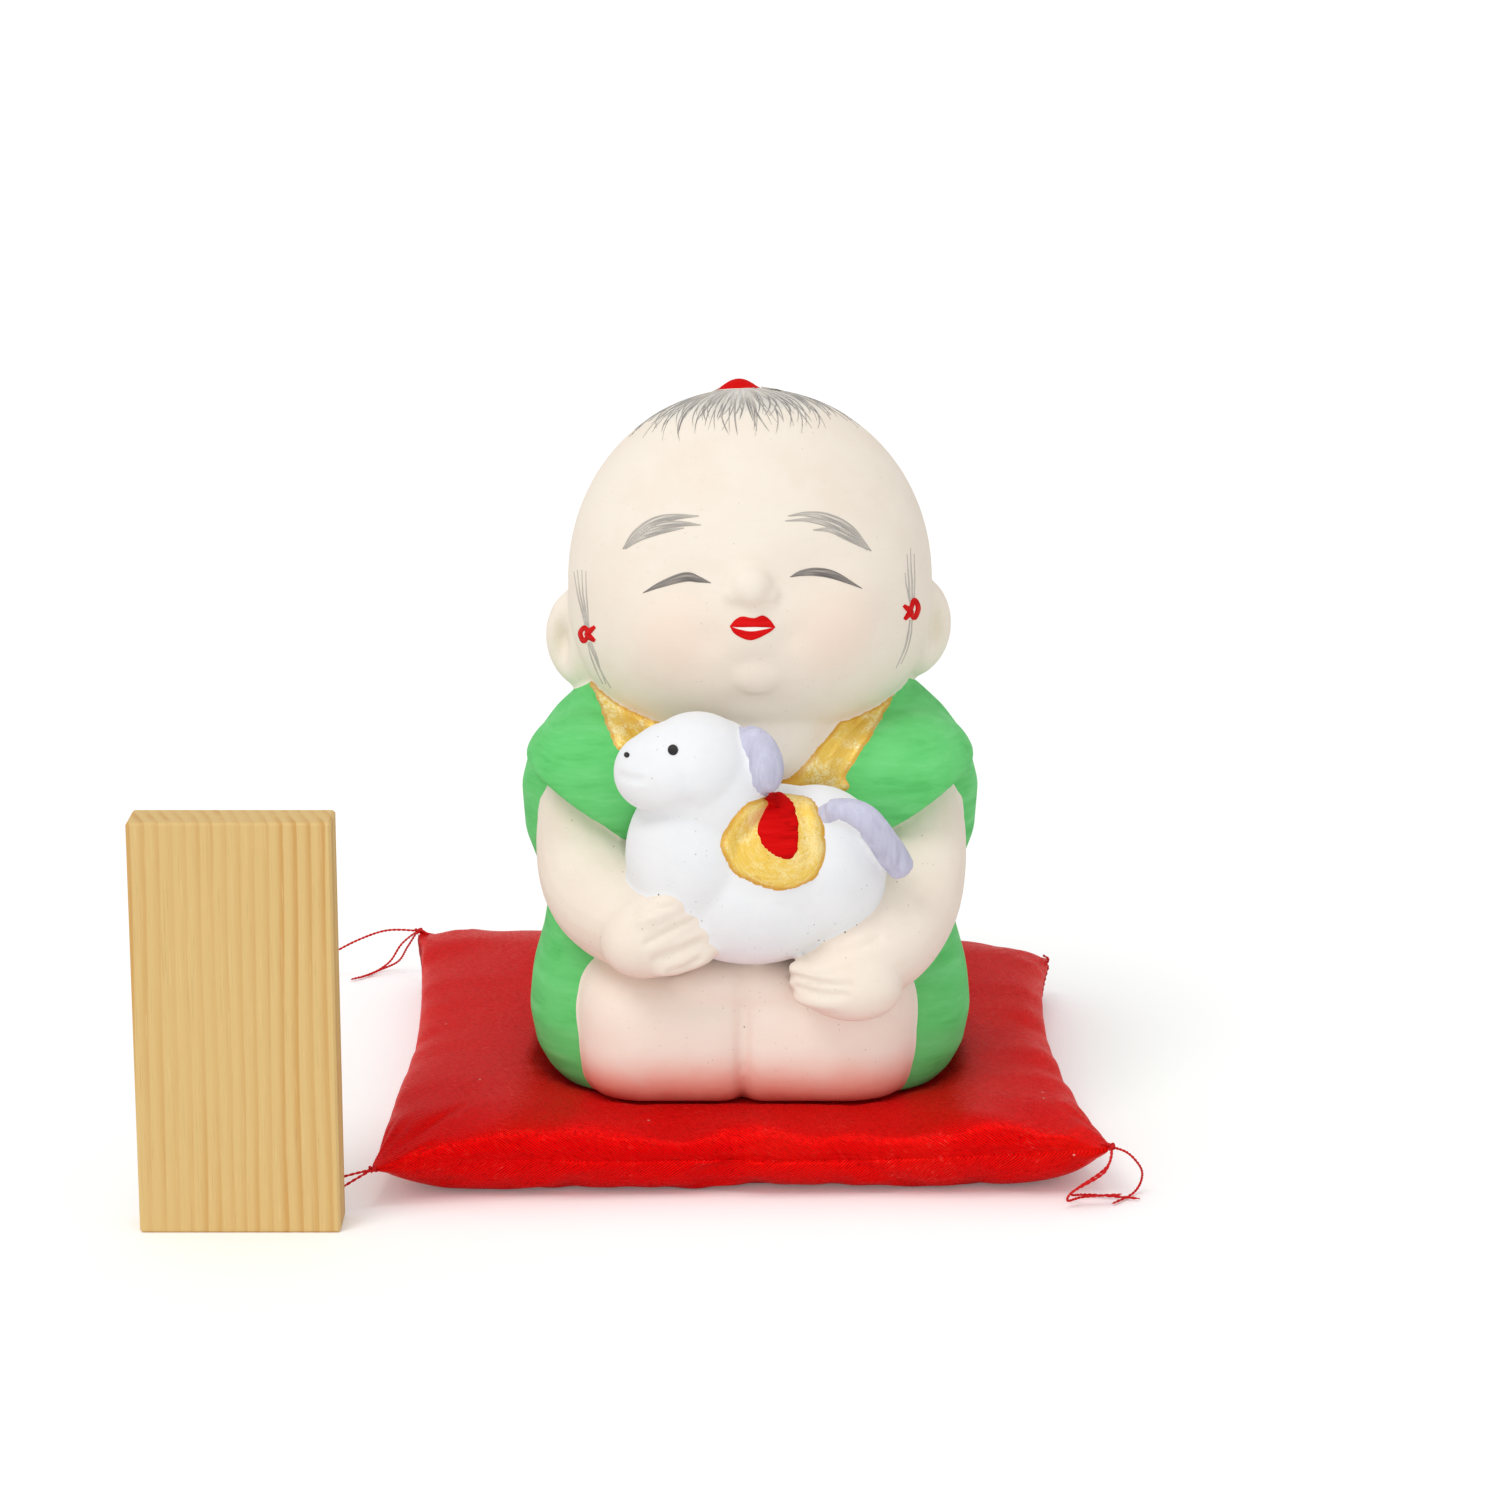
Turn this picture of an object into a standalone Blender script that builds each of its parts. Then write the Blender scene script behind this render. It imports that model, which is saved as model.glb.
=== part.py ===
"""A gosho doll: a clay boy who kneels on a satin cushion with a toy horse in his arms, and his wooden name tablet.

The doll is modelled as the separate clay castings and reliefs that are luted together before firing. The cushion is
its two satin panels, its wadding and the tied threads of its corners. Sizes are in metres, +Z is up, the doll looks
along -Y, and the origin lies on the table below the doll's middle line, at the middle of the cushion's depth.
"""

import math

import bmesh
import bpy
from mathutils import Euler, Vector

# Clearances and small values that several pieces share
SEAT_GAP = 0.0003
CUT_OVERRUN = 0.002
WELD = 0.00001

# The doll as a whole
SEAT_HEIGHT = 0.0080
FOOT_Z = SEAT_HEIGHT + SEAT_GAP
DOLL_MIDDLE_Y = -0.0060

# Head casting
HEAD_HALF_WIDTH = 0.0235
HEAD_FRONT_DEPTH = 0.0205
HEAD_BACK_DEPTH = 0.0215
HEAD_RISE = 0.0247
HEAD_DROP = 0.0206
HEAD_PLACE_Y = -0.0010
HEAD_ABOVE_ROBE = 0.0112
SKULL_EXPONENT = 2.06
JAW_EXPONENT = 2.5
HEAD_SEGMENTS = 44
HEAD_RINGS = 28
NECK_HALF_WIDTH = 0.0125
NECK_HALF_DEPTH = 0.0160
NECK_HALF_LENGTH = 0.0105
NECK_DROP = 0.0172
NECK_EXPONENT = 2.75

# Face relief: place across and up from the head's middle, reach and height of each soft swelling
NOSE = (0.0002, 0.0023, 0.0029, 0.0027)
MOUTH_MOUND = (0.0002, -0.0029, 0.0042, 0.0010)
CHIN = (0.0006, -0.0083, 0.0040, 0.0016)
LEFT_CHEEK = (-0.0125, -0.0041, 0.0085, 0.0013)
RIGHT_CHEEK = (0.0128, -0.0037, 0.0085, 0.0013)
LEFT_EYE_HOLLOW = (-0.0088, 0.0036, 0.0050, -0.0005)
RIGHT_EYE_HOLLOW = (0.0094, 0.0039, 0.0050, -0.0005)
FACE_BLEND = 3
FACE_RELIEF = (NOSE, MOUTH_MOUND, CHIN, LEFT_CHEEK, RIGHT_CHEEK, LEFT_EYE_HOLLOW, RIGHT_EYE_HOLLOW)

# Ears
EAR_RADII = Vector((0.0056, 0.0034, 0.0068))
EAR_CUP_RADIUS = 0.0036
EAR_CUP_DEPTH = 0.0012
EAR_TURN = math.radians(24)
LEFT_EAR_PLACE = Vector((-0.0212, 0.0012, -0.0079))
RIGHT_EAR_PLACE = Vector((0.0208, 0.0012, -0.0063))

# Red tie at the crown
CROWN_TIE_RADII = Vector((0.0034, 0.0034, 0.0030))
CROWN_TIE_SINK = 0.0018
CROWN_TIE_OFFSET = Vector((-0.0012, 0.0035, 0))
CROWN_TIE_EXPONENT = 1.5

# Robe casting: shares of its height, with the half width, front depth and back depth there as shares
ROBE_HEIGHT = 0.0525
ROBE_HALF_WIDTH = 0.0300
ROBE_FRONT_DEPTH = 0.0165
ROBE_BACK_DEPTH = 0.0255
ROBE_EXPONENT = 2.3
ROBE_KNEE_EXPONENT = 4
ROBE_KNEE_SHARES = (0.24, 0.48)
ROBE_SEGMENTS = 32
ROBE_ROWS = 12
ROBE_OUTLINE_SHARES = (
    (0.00, 0.830, 1.25, 0.890),
    (0.03, 0.885, 1.28, 0.930),
    (0.08, 0.935, 1.29, 0.970),
    (0.16, 0.963, 1.26, 1.000),
    (0.24, 0.950, 1.16, 0.985),
    (0.33, 0.905, 1.00, 0.935),
    (0.40, 0.885, 0.90, 0.880),
    (0.48, 0.915, 0.84, 0.830),
    (0.58, 0.980, 0.84, 0.790),
    (0.70, 0.995, 0.90, 0.755),
    (0.80, 0.950, 0.95, 0.710),
    (0.88, 0.850, 0.88, 0.640),
    (0.94, 0.740, 0.74, 0.560),
    (1.00, 0.600, 0.55, 0.450),
)
VENT_RADIUS = 0.0045
VENT_DEPTH = 0.0100
VENT_OFFSET_Y = 0.0125

# Short sleeves of the robe, measured from the doll's foot as every place below
SLEEVE_RADII = Vector((0.0112, 0.0118, 0.0090))
SLEEVE_PLACE = Vector((0.0182, -0.0068, 0.0392))
SLEEVE_HEM_PLACE = Vector((0.0274, 0, 0.0411))
SLEEVE_HEM_TILT = math.radians(34.4)

# Bare legs, folded under the doll
LEFT_LEG_RADII = Vector((0.0107, 0.0150, 0.0108))
RIGHT_LEG_RADII = Vector((0.0114, 0.0150, 0.0108))
LEG_PLACE_Y = -0.0105
LEG_PLACE_Z = 0.0082
LEG_GROOVE_X = -0.0010
LEG_EXPONENT = 2.9
LEG_INNER_EXPONENT = 0.18

# Arms: the points of each arm's middle line. Every front place is measured from the robe's front, not its middle.
ARM_RADIUS = 0.0071
ARM_RADIUS_SHARES = (0.80, 0.98, 1.00, 0.96, 0.88, 0.80)
ARM_RESOLUTION = 2
LEFT_SHOULDER_LINE = (
    Vector((-0.0190, -0.0030, 0.0400)),
    Vector((-0.0206, -0.0060, 0.0360)),
    Vector((-0.0210, -0.0100, 0.0290)),
)
LEFT_FRONT_LINE = (
    Vector((-0.0192, -0.0005, 0.0250)),
    Vector((-0.0156, -0.0065, 0.0242)),
    Vector((-0.0128, -0.0095, 0.0240)),
)
RIGHT_SHOULDER_LINE = (
    Vector((0.0190, -0.0030, 0.0400)),
    Vector((0.0208, -0.0060, 0.0360)),
    Vector((0.0213, -0.0100, 0.0290)),
)
RIGHT_FRONT_LINE = (
    Vector((0.0200, -0.0005, 0.0236)),
    Vector((0.0168, -0.0065, 0.0208)),
    Vector((0.0138, -0.0095, 0.0198)),
)

# Hands: a rounded palm with four fingers side by side, spread like a fan
PALM_RADII = Vector((0.0070, 0.0050, 0.0055))
FINGER_RADII = Vector((0.0046, 0.0020, 0.0015))
FINGER_COUNT = 4
FINGER_PITCH = 0.0024
FINGER_SPREAD = math.radians(4)
FINGER_REACH = 0.0024
FINGER_FRONT = 0.0029
LEFT_HAND_PLACE = Vector((-0.0120, -0.0111, 0.0240))
RIGHT_HAND_PLACE = Vector((0.0122, -0.0113, 0.0193))
LEFT_HAND_TURN = Euler((0, math.radians(-21), math.radians(14)))
RIGHT_HAND_TURN = Euler((0, math.radians(6), math.radians(-14)))

# Toy horse: the three radii and the place of each ball of its body
HORSE_BARREL = (Vector((0.0146, 0.0090, 0.0104)), Vector((0.0024, -0.0065, 0.0316)))
HORSE_CHEST = (Vector((0.0089, 0.0086, 0.0105)), Vector((-0.0068, -0.0075, 0.0334)))
HORSE_RUMP = (Vector((0.0090, 0.0082, 0.0102)), Vector((0.0083, -0.0067, 0.0317)))
HORSE_BELLY = (Vector((0.0128, 0.0078, 0.0094)), Vector((0.0002, -0.0077, 0.0285)))
HORSE_NECK = (Vector((0.0070, 0.0066, 0.0088)), Vector((-0.0044, -0.0091, 0.0424)))
HORSE_HEAD = (Vector((0.0071, 0.0066, 0.0070)), Vector((-0.0066, -0.0101, 0.0452)))
HORSE_CHEEK = (Vector((0.0064, 0.0062, 0.0061)), Vector((-0.0094, -0.0105, 0.0450)))
HORSE_MUZZLE = (Vector((0.0052, 0.0053, 0.0050)), Vector((-0.0118, -0.0108, 0.0448)))
HORSE_BALLS = (
    HORSE_BARREL,
    HORSE_CHEST,
    HORSE_RUMP,
    HORSE_BELLY,
    HORSE_NECK,
    HORSE_HEAD,
    HORSE_CHEEK,
    HORSE_MUZZLE,
)

# Saddle cloth and seat: ovals seen from the front, with their middle, half width and half height
RELIEF_LIFT = 0.0010
SEAT_LIFT = 0.0018
SADDLE_CLOTH_OVAL = (0.0028, 0.0363, 0.0064, 0.0058)
SADDLE_SEAT_OVAL = (0.0035, 0.0378, 0.0027, 0.0042)
OVAL_POINTS = 14
OVAL_EXPONENT = 2.2

# Mane and tail
MANE_RADIUS = 0.0023
MANE_RADIUS_SHARES = (0.60, 0.95, 1.00, 0.90, 0.60)
MANE_LINE = (
    Vector((-0.0004, -0.0099, 0.0492)),
    Vector((0.0008, -0.0115, 0.0486)),
    Vector((0.0020, -0.0126, 0.0464)),
    Vector((0.0024, -0.0132, 0.0438)),
    Vector((0.0020, -0.0140, 0.0418)),
)
TAIL_RADIUS = 0.0022
TAIL_RADIUS_SHARES = (0.75, 0.95, 1.00, 1.00, 0.85)
TAIL_LINE = (
    Vector((0.0092, -0.0123, 0.0402)),
    Vector((0.0132, -0.0127, 0.0408)),
    Vector((0.0156, -0.0125, 0.0380)),
    Vector((0.0176, -0.0115, 0.0346)),
    Vector((0.0192, -0.0103, 0.0318)),
)

# Neckline: the right half of the robe's opening and of the gold band beside it, seen from the front
NECKLINE = ((0.0172, 0.0540), (0.0138, 0.0489), (0.0091, 0.0454), (0.0037, 0.0408), (0, 0.0376))
BAND_EDGE = ((0, 0.0330), (0.0070, 0.0370), (0.0119, 0.0412), (0.0182, 0.0489), (0.0224, 0.0540))
NECKLINE_DEPTH = 0.0070
BAND_BACK = -0.0010
COLLAR_LIFT = 0.0011
NAPE_HALF_WIDTH = 0.0215
NAPE_DROP = 0.0073
NAPE_FRONT = 0.0062

# Cushion: its four corners in plan with their height, and how its panels swell
CUSHION_FRONT_LEFT = Vector((-0.0472, -0.0451, 0.0050))
CUSHION_FRONT_RIGHT = Vector((0.0454, -0.0430, 0.0072))
CUSHION_BACK_LEFT = Vector((-0.0486, 0.0500, 0.0080))
CUSHION_BACK_RIGHT = Vector((0.0433, 0.0430, 0.0058))
SEAM_HEIGHT = 0.0050
CUSHION_CROWN = 0.0066
SIDE_DRAW = 0.0024
SIDE_BULGE = 0.0012
FOLD_EXPONENT = 4.5
CORNER_EXPONENT = 0.5
LIFT_EXPONENT = 4
SATIN_THICKNESS = 0.0005
FLAT_DEPTH = 0.0005
PANEL_CELLS = 13
EDGE_CROWDING = 0.88
DENT_HALF_WIDTH = 0.0282
DENT_FRONT = -0.0318
DENT_BACK = 0.0212
DENT_EXPONENT = 4.5
DENT_SLOPE = 0.0072

# Corner threads, tied in a knot at the seam's corner: the points of each strand after its knot
THREAD_RADIUS = 0.0002
KNOT_RADIUS = 0.0008
KNOT_OUT = 0.0014
FRONT_LEFT_LONG_STRAND = (
    Vector((-0.0513, -0.0463, 0.0043)),
    Vector((-0.0550, -0.0456, 0.0026)),
    Vector((-0.0585, -0.0446, 0.0009)),
    Vector((-0.0615, -0.0436, 0.0004)),
)
FRONT_LEFT_SHORT_STRAND = (
    Vector((-0.0506, -0.0464, 0.0032)),
    Vector((-0.0534, -0.0463, 0.0012)),
    Vector((-0.0565, -0.0460, 0.0004)),
    Vector((-0.0605, -0.0462, 0.0004)),
)
FRONT_RIGHT_OUTER_STRAND = (
    Vector((0.0472, -0.0425, 0.0063)),
    Vector((0.0490, -0.0410, 0.0038)),
    Vector((0.0492, -0.0396, 0.0016)),
    Vector((0.0480, -0.0410, 0.0004)),
    Vector((0.0452, -0.0446, 0.0004)),
)
FRONT_RIGHT_INNER_STRAND = (
    Vector((0.0444, -0.0450, 0.0054)),
    Vector((0.0410, -0.0452, 0.0028)),
    Vector((0.0402, -0.0430, 0.0010)),
    Vector((0.0427, -0.0414, 0.0004)),
    Vector((0.0488, -0.0428, 0.0004)),
)
FRONT_RIGHT_LOOP_STRAND = (
    Vector((0.0440, -0.0464, 0.0052)),
    Vector((0.0402, -0.0462, 0.0026)),
    Vector((0.0396, -0.0452, 0.0010)),
    Vector((0.0416, -0.0444, 0.0012)),
    Vector((0.0464, -0.0440, 0.0014)),
)
BACK_LEFT_LONG_STRAND = (
    Vector((-0.0530, 0.0524, 0.0073)),
    Vector((-0.0570, 0.0528, 0.0059)),
    Vector((-0.0610, 0.0529, 0.0038)),
    Vector((-0.0650, 0.0526, 0.0014)),
    Vector((-0.0675, 0.0520, 0.0004)),
)
BACK_LEFT_NEAR_STRAND = (
    Vector((-0.0502, 0.0532, 0.0046)),
    Vector((-0.0518, 0.0558, 0.0016)),
    Vector((-0.0544, 0.0554, 0.0004)),
    Vector((-0.0572, 0.0512, 0.0004)),
)
BACK_LEFT_FAR_STRAND = (
    Vector((-0.0510, 0.0526, 0.0052)),
    Vector((-0.0530, 0.0540, 0.0020)),
    Vector((-0.0556, 0.0530, 0.0005)),
    Vector((-0.0584, 0.0504, 0.0004)),
)

# Name tablet
TABLET_WIDTH = 0.0246
TABLET_DEPTH = 0.0065
TABLET_HEIGHT = 0.0520
TABLET_EDGE = 0.0003
TABLET_MIDDLE_X = -0.0625
TABLET_FRONT_Y = -0.0540

# Facets round and along the smaller rounded pieces
BALL_SEGMENTS = 14
BALL_RINGS = 10
LARGE_BALL_SEGMENTS = 20
LARGE_BALL_RINGS = 13
SMALL_BALL_SEGMENTS = 8
SMALL_BALL_RINGS = 6
LINE_STEPS = 3

CLAY_FLESH = (0.93, 0.86, 0.79)
CLAY_WHITE = (0.93, 0.94, 0.96)
PAINT_GREEN = (0.16, 0.58, 0.25)
PAINT_GOLD = (0.83, 0.58, 0.17)
PAINT_RED = (0.72, 0.01, 0.01)
PAINT_LILAC = (0.66, 0.64, 0.80)
SATIN_RED = (0.66, 0.01, 0.02)
WADDING_WHITE = (0.90, 0.90, 0.88)
CEDAR = (0.83, 0.62, 0.36)


def clear_scene():
    """Remove whatever the scene starts with."""
    for item in list(bpy.data.objects):
        bpy.data.objects.remove(item)


def finish(name, colour, roughness, metallic=0):
    """One plain finish, as a Principled material."""
    made = bpy.data.materials.new(name)
    made.use_nodes = True
    shader = made.node_tree.nodes["Principled BSDF"]
    shader.inputs["Base Color"].default_value = (*colour, 1)
    shader.inputs["Roughness"].default_value = roughness
    shader.inputs["Metallic"].default_value = metallic
    return made


def place(name, shape, material=None):
    """Turn a closed bmesh into a named object; one without a material is a guide that only shapes others."""
    bmesh.ops.recalc_face_normals(shape, faces=shape.faces)
    if shape.calc_volume(signed=True) < 0:
        bmesh.ops.reverse_faces(shape, faces=shape.faces)
    mesh = bpy.data.meshes.new(name)
    shape.to_mesh(mesh)
    shape.free()
    return place_mesh(name, mesh, material)


def place_mesh(name, mesh, material=None):
    """Link a mesh as a named object, shaded smooth."""
    mesh.shade_smooth()
    made = bpy.data.objects.new(name, mesh)
    if material:
        mesh.materials.clear()
        mesh.materials.append(material)
    else:
        made.hide_render = True
        made.display_type = "WIRE"
    bpy.context.scene.collection.objects.link(made)
    return made


def combine(target, other, operation):
    """Join another shape to a piece, or cut it out."""
    step = target.modifiers.new(operation.lower(), "BOOLEAN")
    step.operation = operation
    step.solver = "EXACT"
    step.object = other
    return target


def union(parts):
    """Join several guides into the first of them."""
    first, *others = parts
    for other in others:
        combine(first, other, "UNION")
    return first


def settle(name, source, material):
    """Take a form as its modifiers leave it, as a piece of its own."""
    bpy.context.view_layer.update()
    graph = bpy.context.evaluated_depsgraph_get()
    mesh = bpy.data.meshes.new_from_object(source.evaluated_get(graph))
    return place_mesh(name, mesh, material)


def cut(piece, rooms):
    """Cut each neighbour's room out of a piece, and close the slivers that the cuts leave."""
    for room in rooms:
        combine(piece, room, "DIFFERENCE")
    piece.modifiers.new("close", "WELD").merge_threshold = WELD
    return piece


def from_foot(point):
    """A place that is measured from the doll's foot, in the part's frame."""
    return Vector((point.x, point.y + DOLL_MIDDLE_Y, point.z + FOOT_Z))


def from_front(point):
    """A place whose depth is measured from the robe's front, in the part's frame."""
    return from_foot(point - Vector((0, ROBE_FRONT_DEPTH, 0)))


def widened(radii, room):
    """Three radii, each larger by the same room."""
    return Vector(radius + room for radius in radii)


def rounded_ball(radii, segments, rings, exponent=2):
    """A ball with three radii; a higher exponent squares it up."""
    shape = bmesh.new()
    bmesh.ops.create_uvsphere(shape, u_segments=segments, v_segments=rings, radius=1)
    for vertex in shape.verts:
        reach = sum(abs(value) ** exponent for value in vertex.co) ** (-1 / exponent)
        vertex.co = Vector(value * reach * radius for value, radius in zip(vertex.co, radii))
    return shape


HEAD_MIDDLE = from_foot(Vector((0, HEAD_PLACE_Y, ROBE_HEIGHT + HEAD_ABOVE_ROBE)))


def placed_ball(name, radii, centre, segments, rings, exponent=2):
    """A guide ball at its place."""
    shape = rounded_ball(radii, segments, rings, exponent)
    bmesh.ops.translate(shape, verts=shape.verts, vec=centre)
    return place(name, shape)


def upright_rod(name, radius, foot, height, segments):
    """A guide rod that stands on a point."""
    shape = bmesh.new()
    bmesh.ops.create_cone(
        shape, cap_ends=True, segments=segments, radius1=radius, radius2=radius, depth=height
    )
    bmesh.ops.translate(shape, verts=shape.verts, vec=foot + Vector((0, 0, height / 2)))
    return place(name, shape)


def tube(name, line, radius, shares, resolution, material=None):
    """A round bar along a smooth line, as thick at each point as its share says."""
    curve = bpy.data.curves.new(name, "CURVE")
    curve.dimensions = "3D"
    curve.bevel_depth = radius
    curve.bevel_resolution = resolution
    curve.resolution_u = LINE_STEPS
    curve.use_fill_caps = True
    spline = curve.splines.new("NURBS")
    spline.points.add(len(line) - 1)
    for point, where, share in zip(spline.points, line, shares):
        point.co = (*where, 1)
        point.radius = share
    spline.order_u = 4
    spline.use_endpoint_u = True
    middle_line = bpy.data.objects.new(name + "_line", curve)
    middle_line.hide_render = True
    bpy.context.scene.collection.objects.link(middle_line)
    bpy.context.view_layer.update()
    graph = bpy.context.evaluated_depsgraph_get()
    shape = bmesh.new()
    shape.from_mesh(bpy.data.meshes.new_from_object(middle_line.evaluated_get(graph)))
    bmesh.ops.remove_doubles(shape, verts=shape.verts, dist=WELD)
    return place(name, shape, material)


def prism(name, outline, near_y, far_y):
    """A guide block with an outline seen from the front, from one depth to another."""
    shape = bmesh.new()
    face = shape.faces.new([shape.verts.new((x, near_y, z + FOOT_Z)) for x, z in outline])
    raised = bmesh.ops.extrude_face_region(shape, geom=[face])
    moved = [item for item in raised["geom"] if isinstance(item, bmesh.types.BMVert)]
    bmesh.ops.translate(shape, verts=moved, vec=(0, far_y - near_y, 0))
    return place(name, shape)


def oval(middle_x, middle_z, half_width, half_height, room=0):
    """An oval outline seen from the front."""
    half_width += room
    half_height += room
    points = []
    for step in range(OVAL_POINTS):
        turn = math.tau * step / OVAL_POINTS
        across, up = math.cos(turn), math.sin(turn)
        reach = (abs(across) ** OVAL_EXPONENT + abs(up) ** OVAL_EXPONENT) ** (-1 / OVAL_EXPONENT)
        points.append((middle_x + half_width * across * reach, middle_z + half_height * up * reach))
    return points


def face_height(x, z):
    """How far the face's relief stands out at a place across and up from the head's middle."""
    height = 0
    for across, up, reach, rise in FACE_RELIEF:
        distance = math.hypot(x - across, z - up)
        height += rise * math.exp(-((distance / reach) ** 2))
    return height


def skull(room):
    """The head's rounded form with its nose, cheeks, mouth and chin."""
    shape = bmesh.new()
    bmesh.ops.create_uvsphere(shape, u_segments=HEAD_SEGMENTS, v_segments=HEAD_RINGS, radius=1)
    for vertex in shape.verts:
        across, along, up = vertex.co
        exponent = SKULL_EXPONENT if up > 0 else JAW_EXPONENT
        reach = (math.hypot(across, along) ** exponent + abs(up) ** exponent) ** (-1 / exponent)
        x = across * reach * (HEAD_HALF_WIDTH + room)
        y = along * reach * ((HEAD_FRONT_DEPTH if along < 0 else HEAD_BACK_DEPTH) + room)
        z = up * reach * ((HEAD_RISE if up > 0 else HEAD_DROP) + room)
        if along < 0:
            y -= face_height(x, z) * min(1, -FACE_BLEND * along)
        vertex.co = Vector((x, y, z)) + HEAD_MIDDLE
    return place("skull", shape)


def ear(offset, side, room):
    """One flared ear with its hollow."""
    shape = rounded_ball(widened(EAR_RADII, room), BALL_SEGMENTS, BALL_RINGS)
    for vertex in shape.verts:
        if vertex.co.y < 0:
            off = math.hypot(vertex.co.x, vertex.co.z) / EAR_CUP_RADIUS
            vertex.co.y += EAR_CUP_DEPTH * math.exp(-(off**2))
    turn = Euler((0, 0, side * EAR_TURN)).to_matrix()
    bmesh.ops.rotate(shape, verts=shape.verts, cent=(0, 0, 0), matrix=turn)
    bmesh.ops.translate(shape, verts=shape.verts, vec=HEAD_MIDDLE + offset)
    return place("ear", shape)


def crown_tie(head_room, material):
    """The pinched red tie on the crown."""
    shape = rounded_ball(CROWN_TIE_RADII, BALL_SEGMENTS, BALL_RINGS, CROWN_TIE_EXPONENT)
    top = HEAD_MIDDLE + Vector((0, 0, HEAD_RISE - CROWN_TIE_SINK)) + CROWN_TIE_OFFSET
    bmesh.ops.translate(shape, verts=shape.verts, vec=top)
    cut(place("crown_tie", shape, material), [head_room])


def robe_half_sizes(share):
    """Half width, front depth and back depth of the robe at a share of its height."""
    rows = ROBE_OUTLINE_SHARES
    for lower, upper in zip(rows, rows[1:]):
        if share <= upper[0]:
            blend = (share - lower[0]) / (upper[0] - lower[0])
            wide, front, back = (a + (b - a) * blend for a, b in zip(lower[1:], upper[1:]))
            return wide * ROBE_HALF_WIDTH, front * ROBE_FRONT_DEPTH, back * ROBE_BACK_DEPTH
    return robe_half_sizes(1)


def robe_front_exponent(share):
    """How square the robe's front is: it wraps the knees near its foot, and is round above them."""
    start, end = ROBE_KNEE_SHARES
    blend = min(1, max(0, (share - start) / (end - start)))
    return ROBE_KNEE_EXPONENT + (ROBE_EXPONENT - ROBE_KNEE_EXPONENT) * blend


def robe_barrel(room):
    """The robe's rounded body, lofted through its outline."""
    shape = bmesh.new()
    bmesh.ops.create_cone(
        shape, cap_ends=True, segments=ROBE_SEGMENTS, radius1=1, radius2=1, depth=1
    )
    bmesh.ops.translate(shape, verts=shape.verts, vec=(0, 0, 1 / 2))
    upright = [edge for edge in shape.edges if edge.verts[0].co.z != edge.verts[1].co.z]
    bmesh.ops.subdivide_edges(shape, edges=upright, cuts=ROBE_ROWS - 1, use_grid_fill=True)
    for vertex in shape.verts:
        across, along, share = vertex.co
        wide, front, back = robe_half_sizes(share)
        exponent = robe_front_exponent(share) if along < 0 else ROBE_EXPONENT
        reach = (abs(across) ** exponent + abs(along) ** exponent) ** (-1 / exponent)
        depth = (front if along < 0 else back) + room
        vertex.co = from_foot(
            Vector((across * reach * (wide + room), along * reach * depth, share * (ROBE_HEIGHT + room)))
        )
    return place("robe_barrel", shape)


def sleeve(side, room):
    """One short sleeve, cut off along its slanting hem."""
    shape = rounded_ball(widened(SLEEVE_RADII, room), BALL_SEGMENTS, BALL_RINGS, ROBE_EXPONENT)
    middle = from_foot(Vector((side * SLEEVE_PLACE.x, SLEEVE_PLACE.y, SLEEVE_PLACE.z)))
    bmesh.ops.translate(shape, verts=shape.verts, vec=middle)
    down = Vector((side * math.sin(SLEEVE_HEM_TILT), 0, -math.cos(SLEEVE_HEM_TILT)))
    hem = from_foot(Vector((side * SLEEVE_HEM_PLACE.x, 0, SLEEVE_HEM_PLACE.z))) + room * down
    made = bmesh.ops.bisect_plane(
        shape,
        geom=[*shape.verts, *shape.edges, *shape.faces],
        dist=WELD,
        plane_co=hem,
        plane_no=down,
        clear_outer=True,
    )
    rim = [item for item in made["geom_cut"] if isinstance(item, bmesh.types.BMEdge)]
    bmesh.ops.contextual_create(shape, geom=rim)
    return place("sleeve", shape)


def robe_form(room=0):
    """The outside of the robe casting with its sleeves."""
    return union((robe_barrel(room), sleeve(-1, room), sleeve(1, room)))


def chest(room):
    """The bare chest inside the robe's neckline, flush with the robe's skin."""
    near = from_foot(Vector((0, -ROBE_FRONT_DEPTH - SLEEVE_RADII.y, 0))).y
    right = [(x + room, z - room) for x, z in NECKLINE]
    outline = right + [(-x, z) for x, z in reversed(right[:-1])]
    block = prism("neckline_block", outline, near, near + SLEEVE_RADII.y + NECKLINE_DEPTH)
    return combine(robe_barrel(room), block, "INTERSECT")


def bare_head(room):
    """The skull, ears and neck, without the chest."""
    neck = placed_ball(
        "neck",
        widened((NECK_HALF_WIDTH, NECK_HALF_DEPTH, NECK_HALF_LENGTH), room),
        HEAD_MIDDLE - Vector((0, 0, NECK_DROP)),
        BALL_SEGMENTS,
        BALL_RINGS,
        NECK_EXPONENT,
    )
    return [skull(room), neck, ear(LEFT_EAR_PLACE, -1, room), ear(RIGHT_EAR_PLACE, 1, room)]


def head_form(room=0):
    """The outside of the head casting, with the neck and chest that seat in the robe."""
    return union((*bare_head(room), chest(room)))


def vent():
    """The round vent that the kiln's air leaves by, in the flat base."""
    foot = from_foot(Vector((0, VENT_OFFSET_Y, -CUT_OVERRUN)))
    return upright_rod("vent", VENT_RADIUS, foot, CUT_OVERRUN + VENT_DEPTH, BALL_SEGMENTS)


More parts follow.
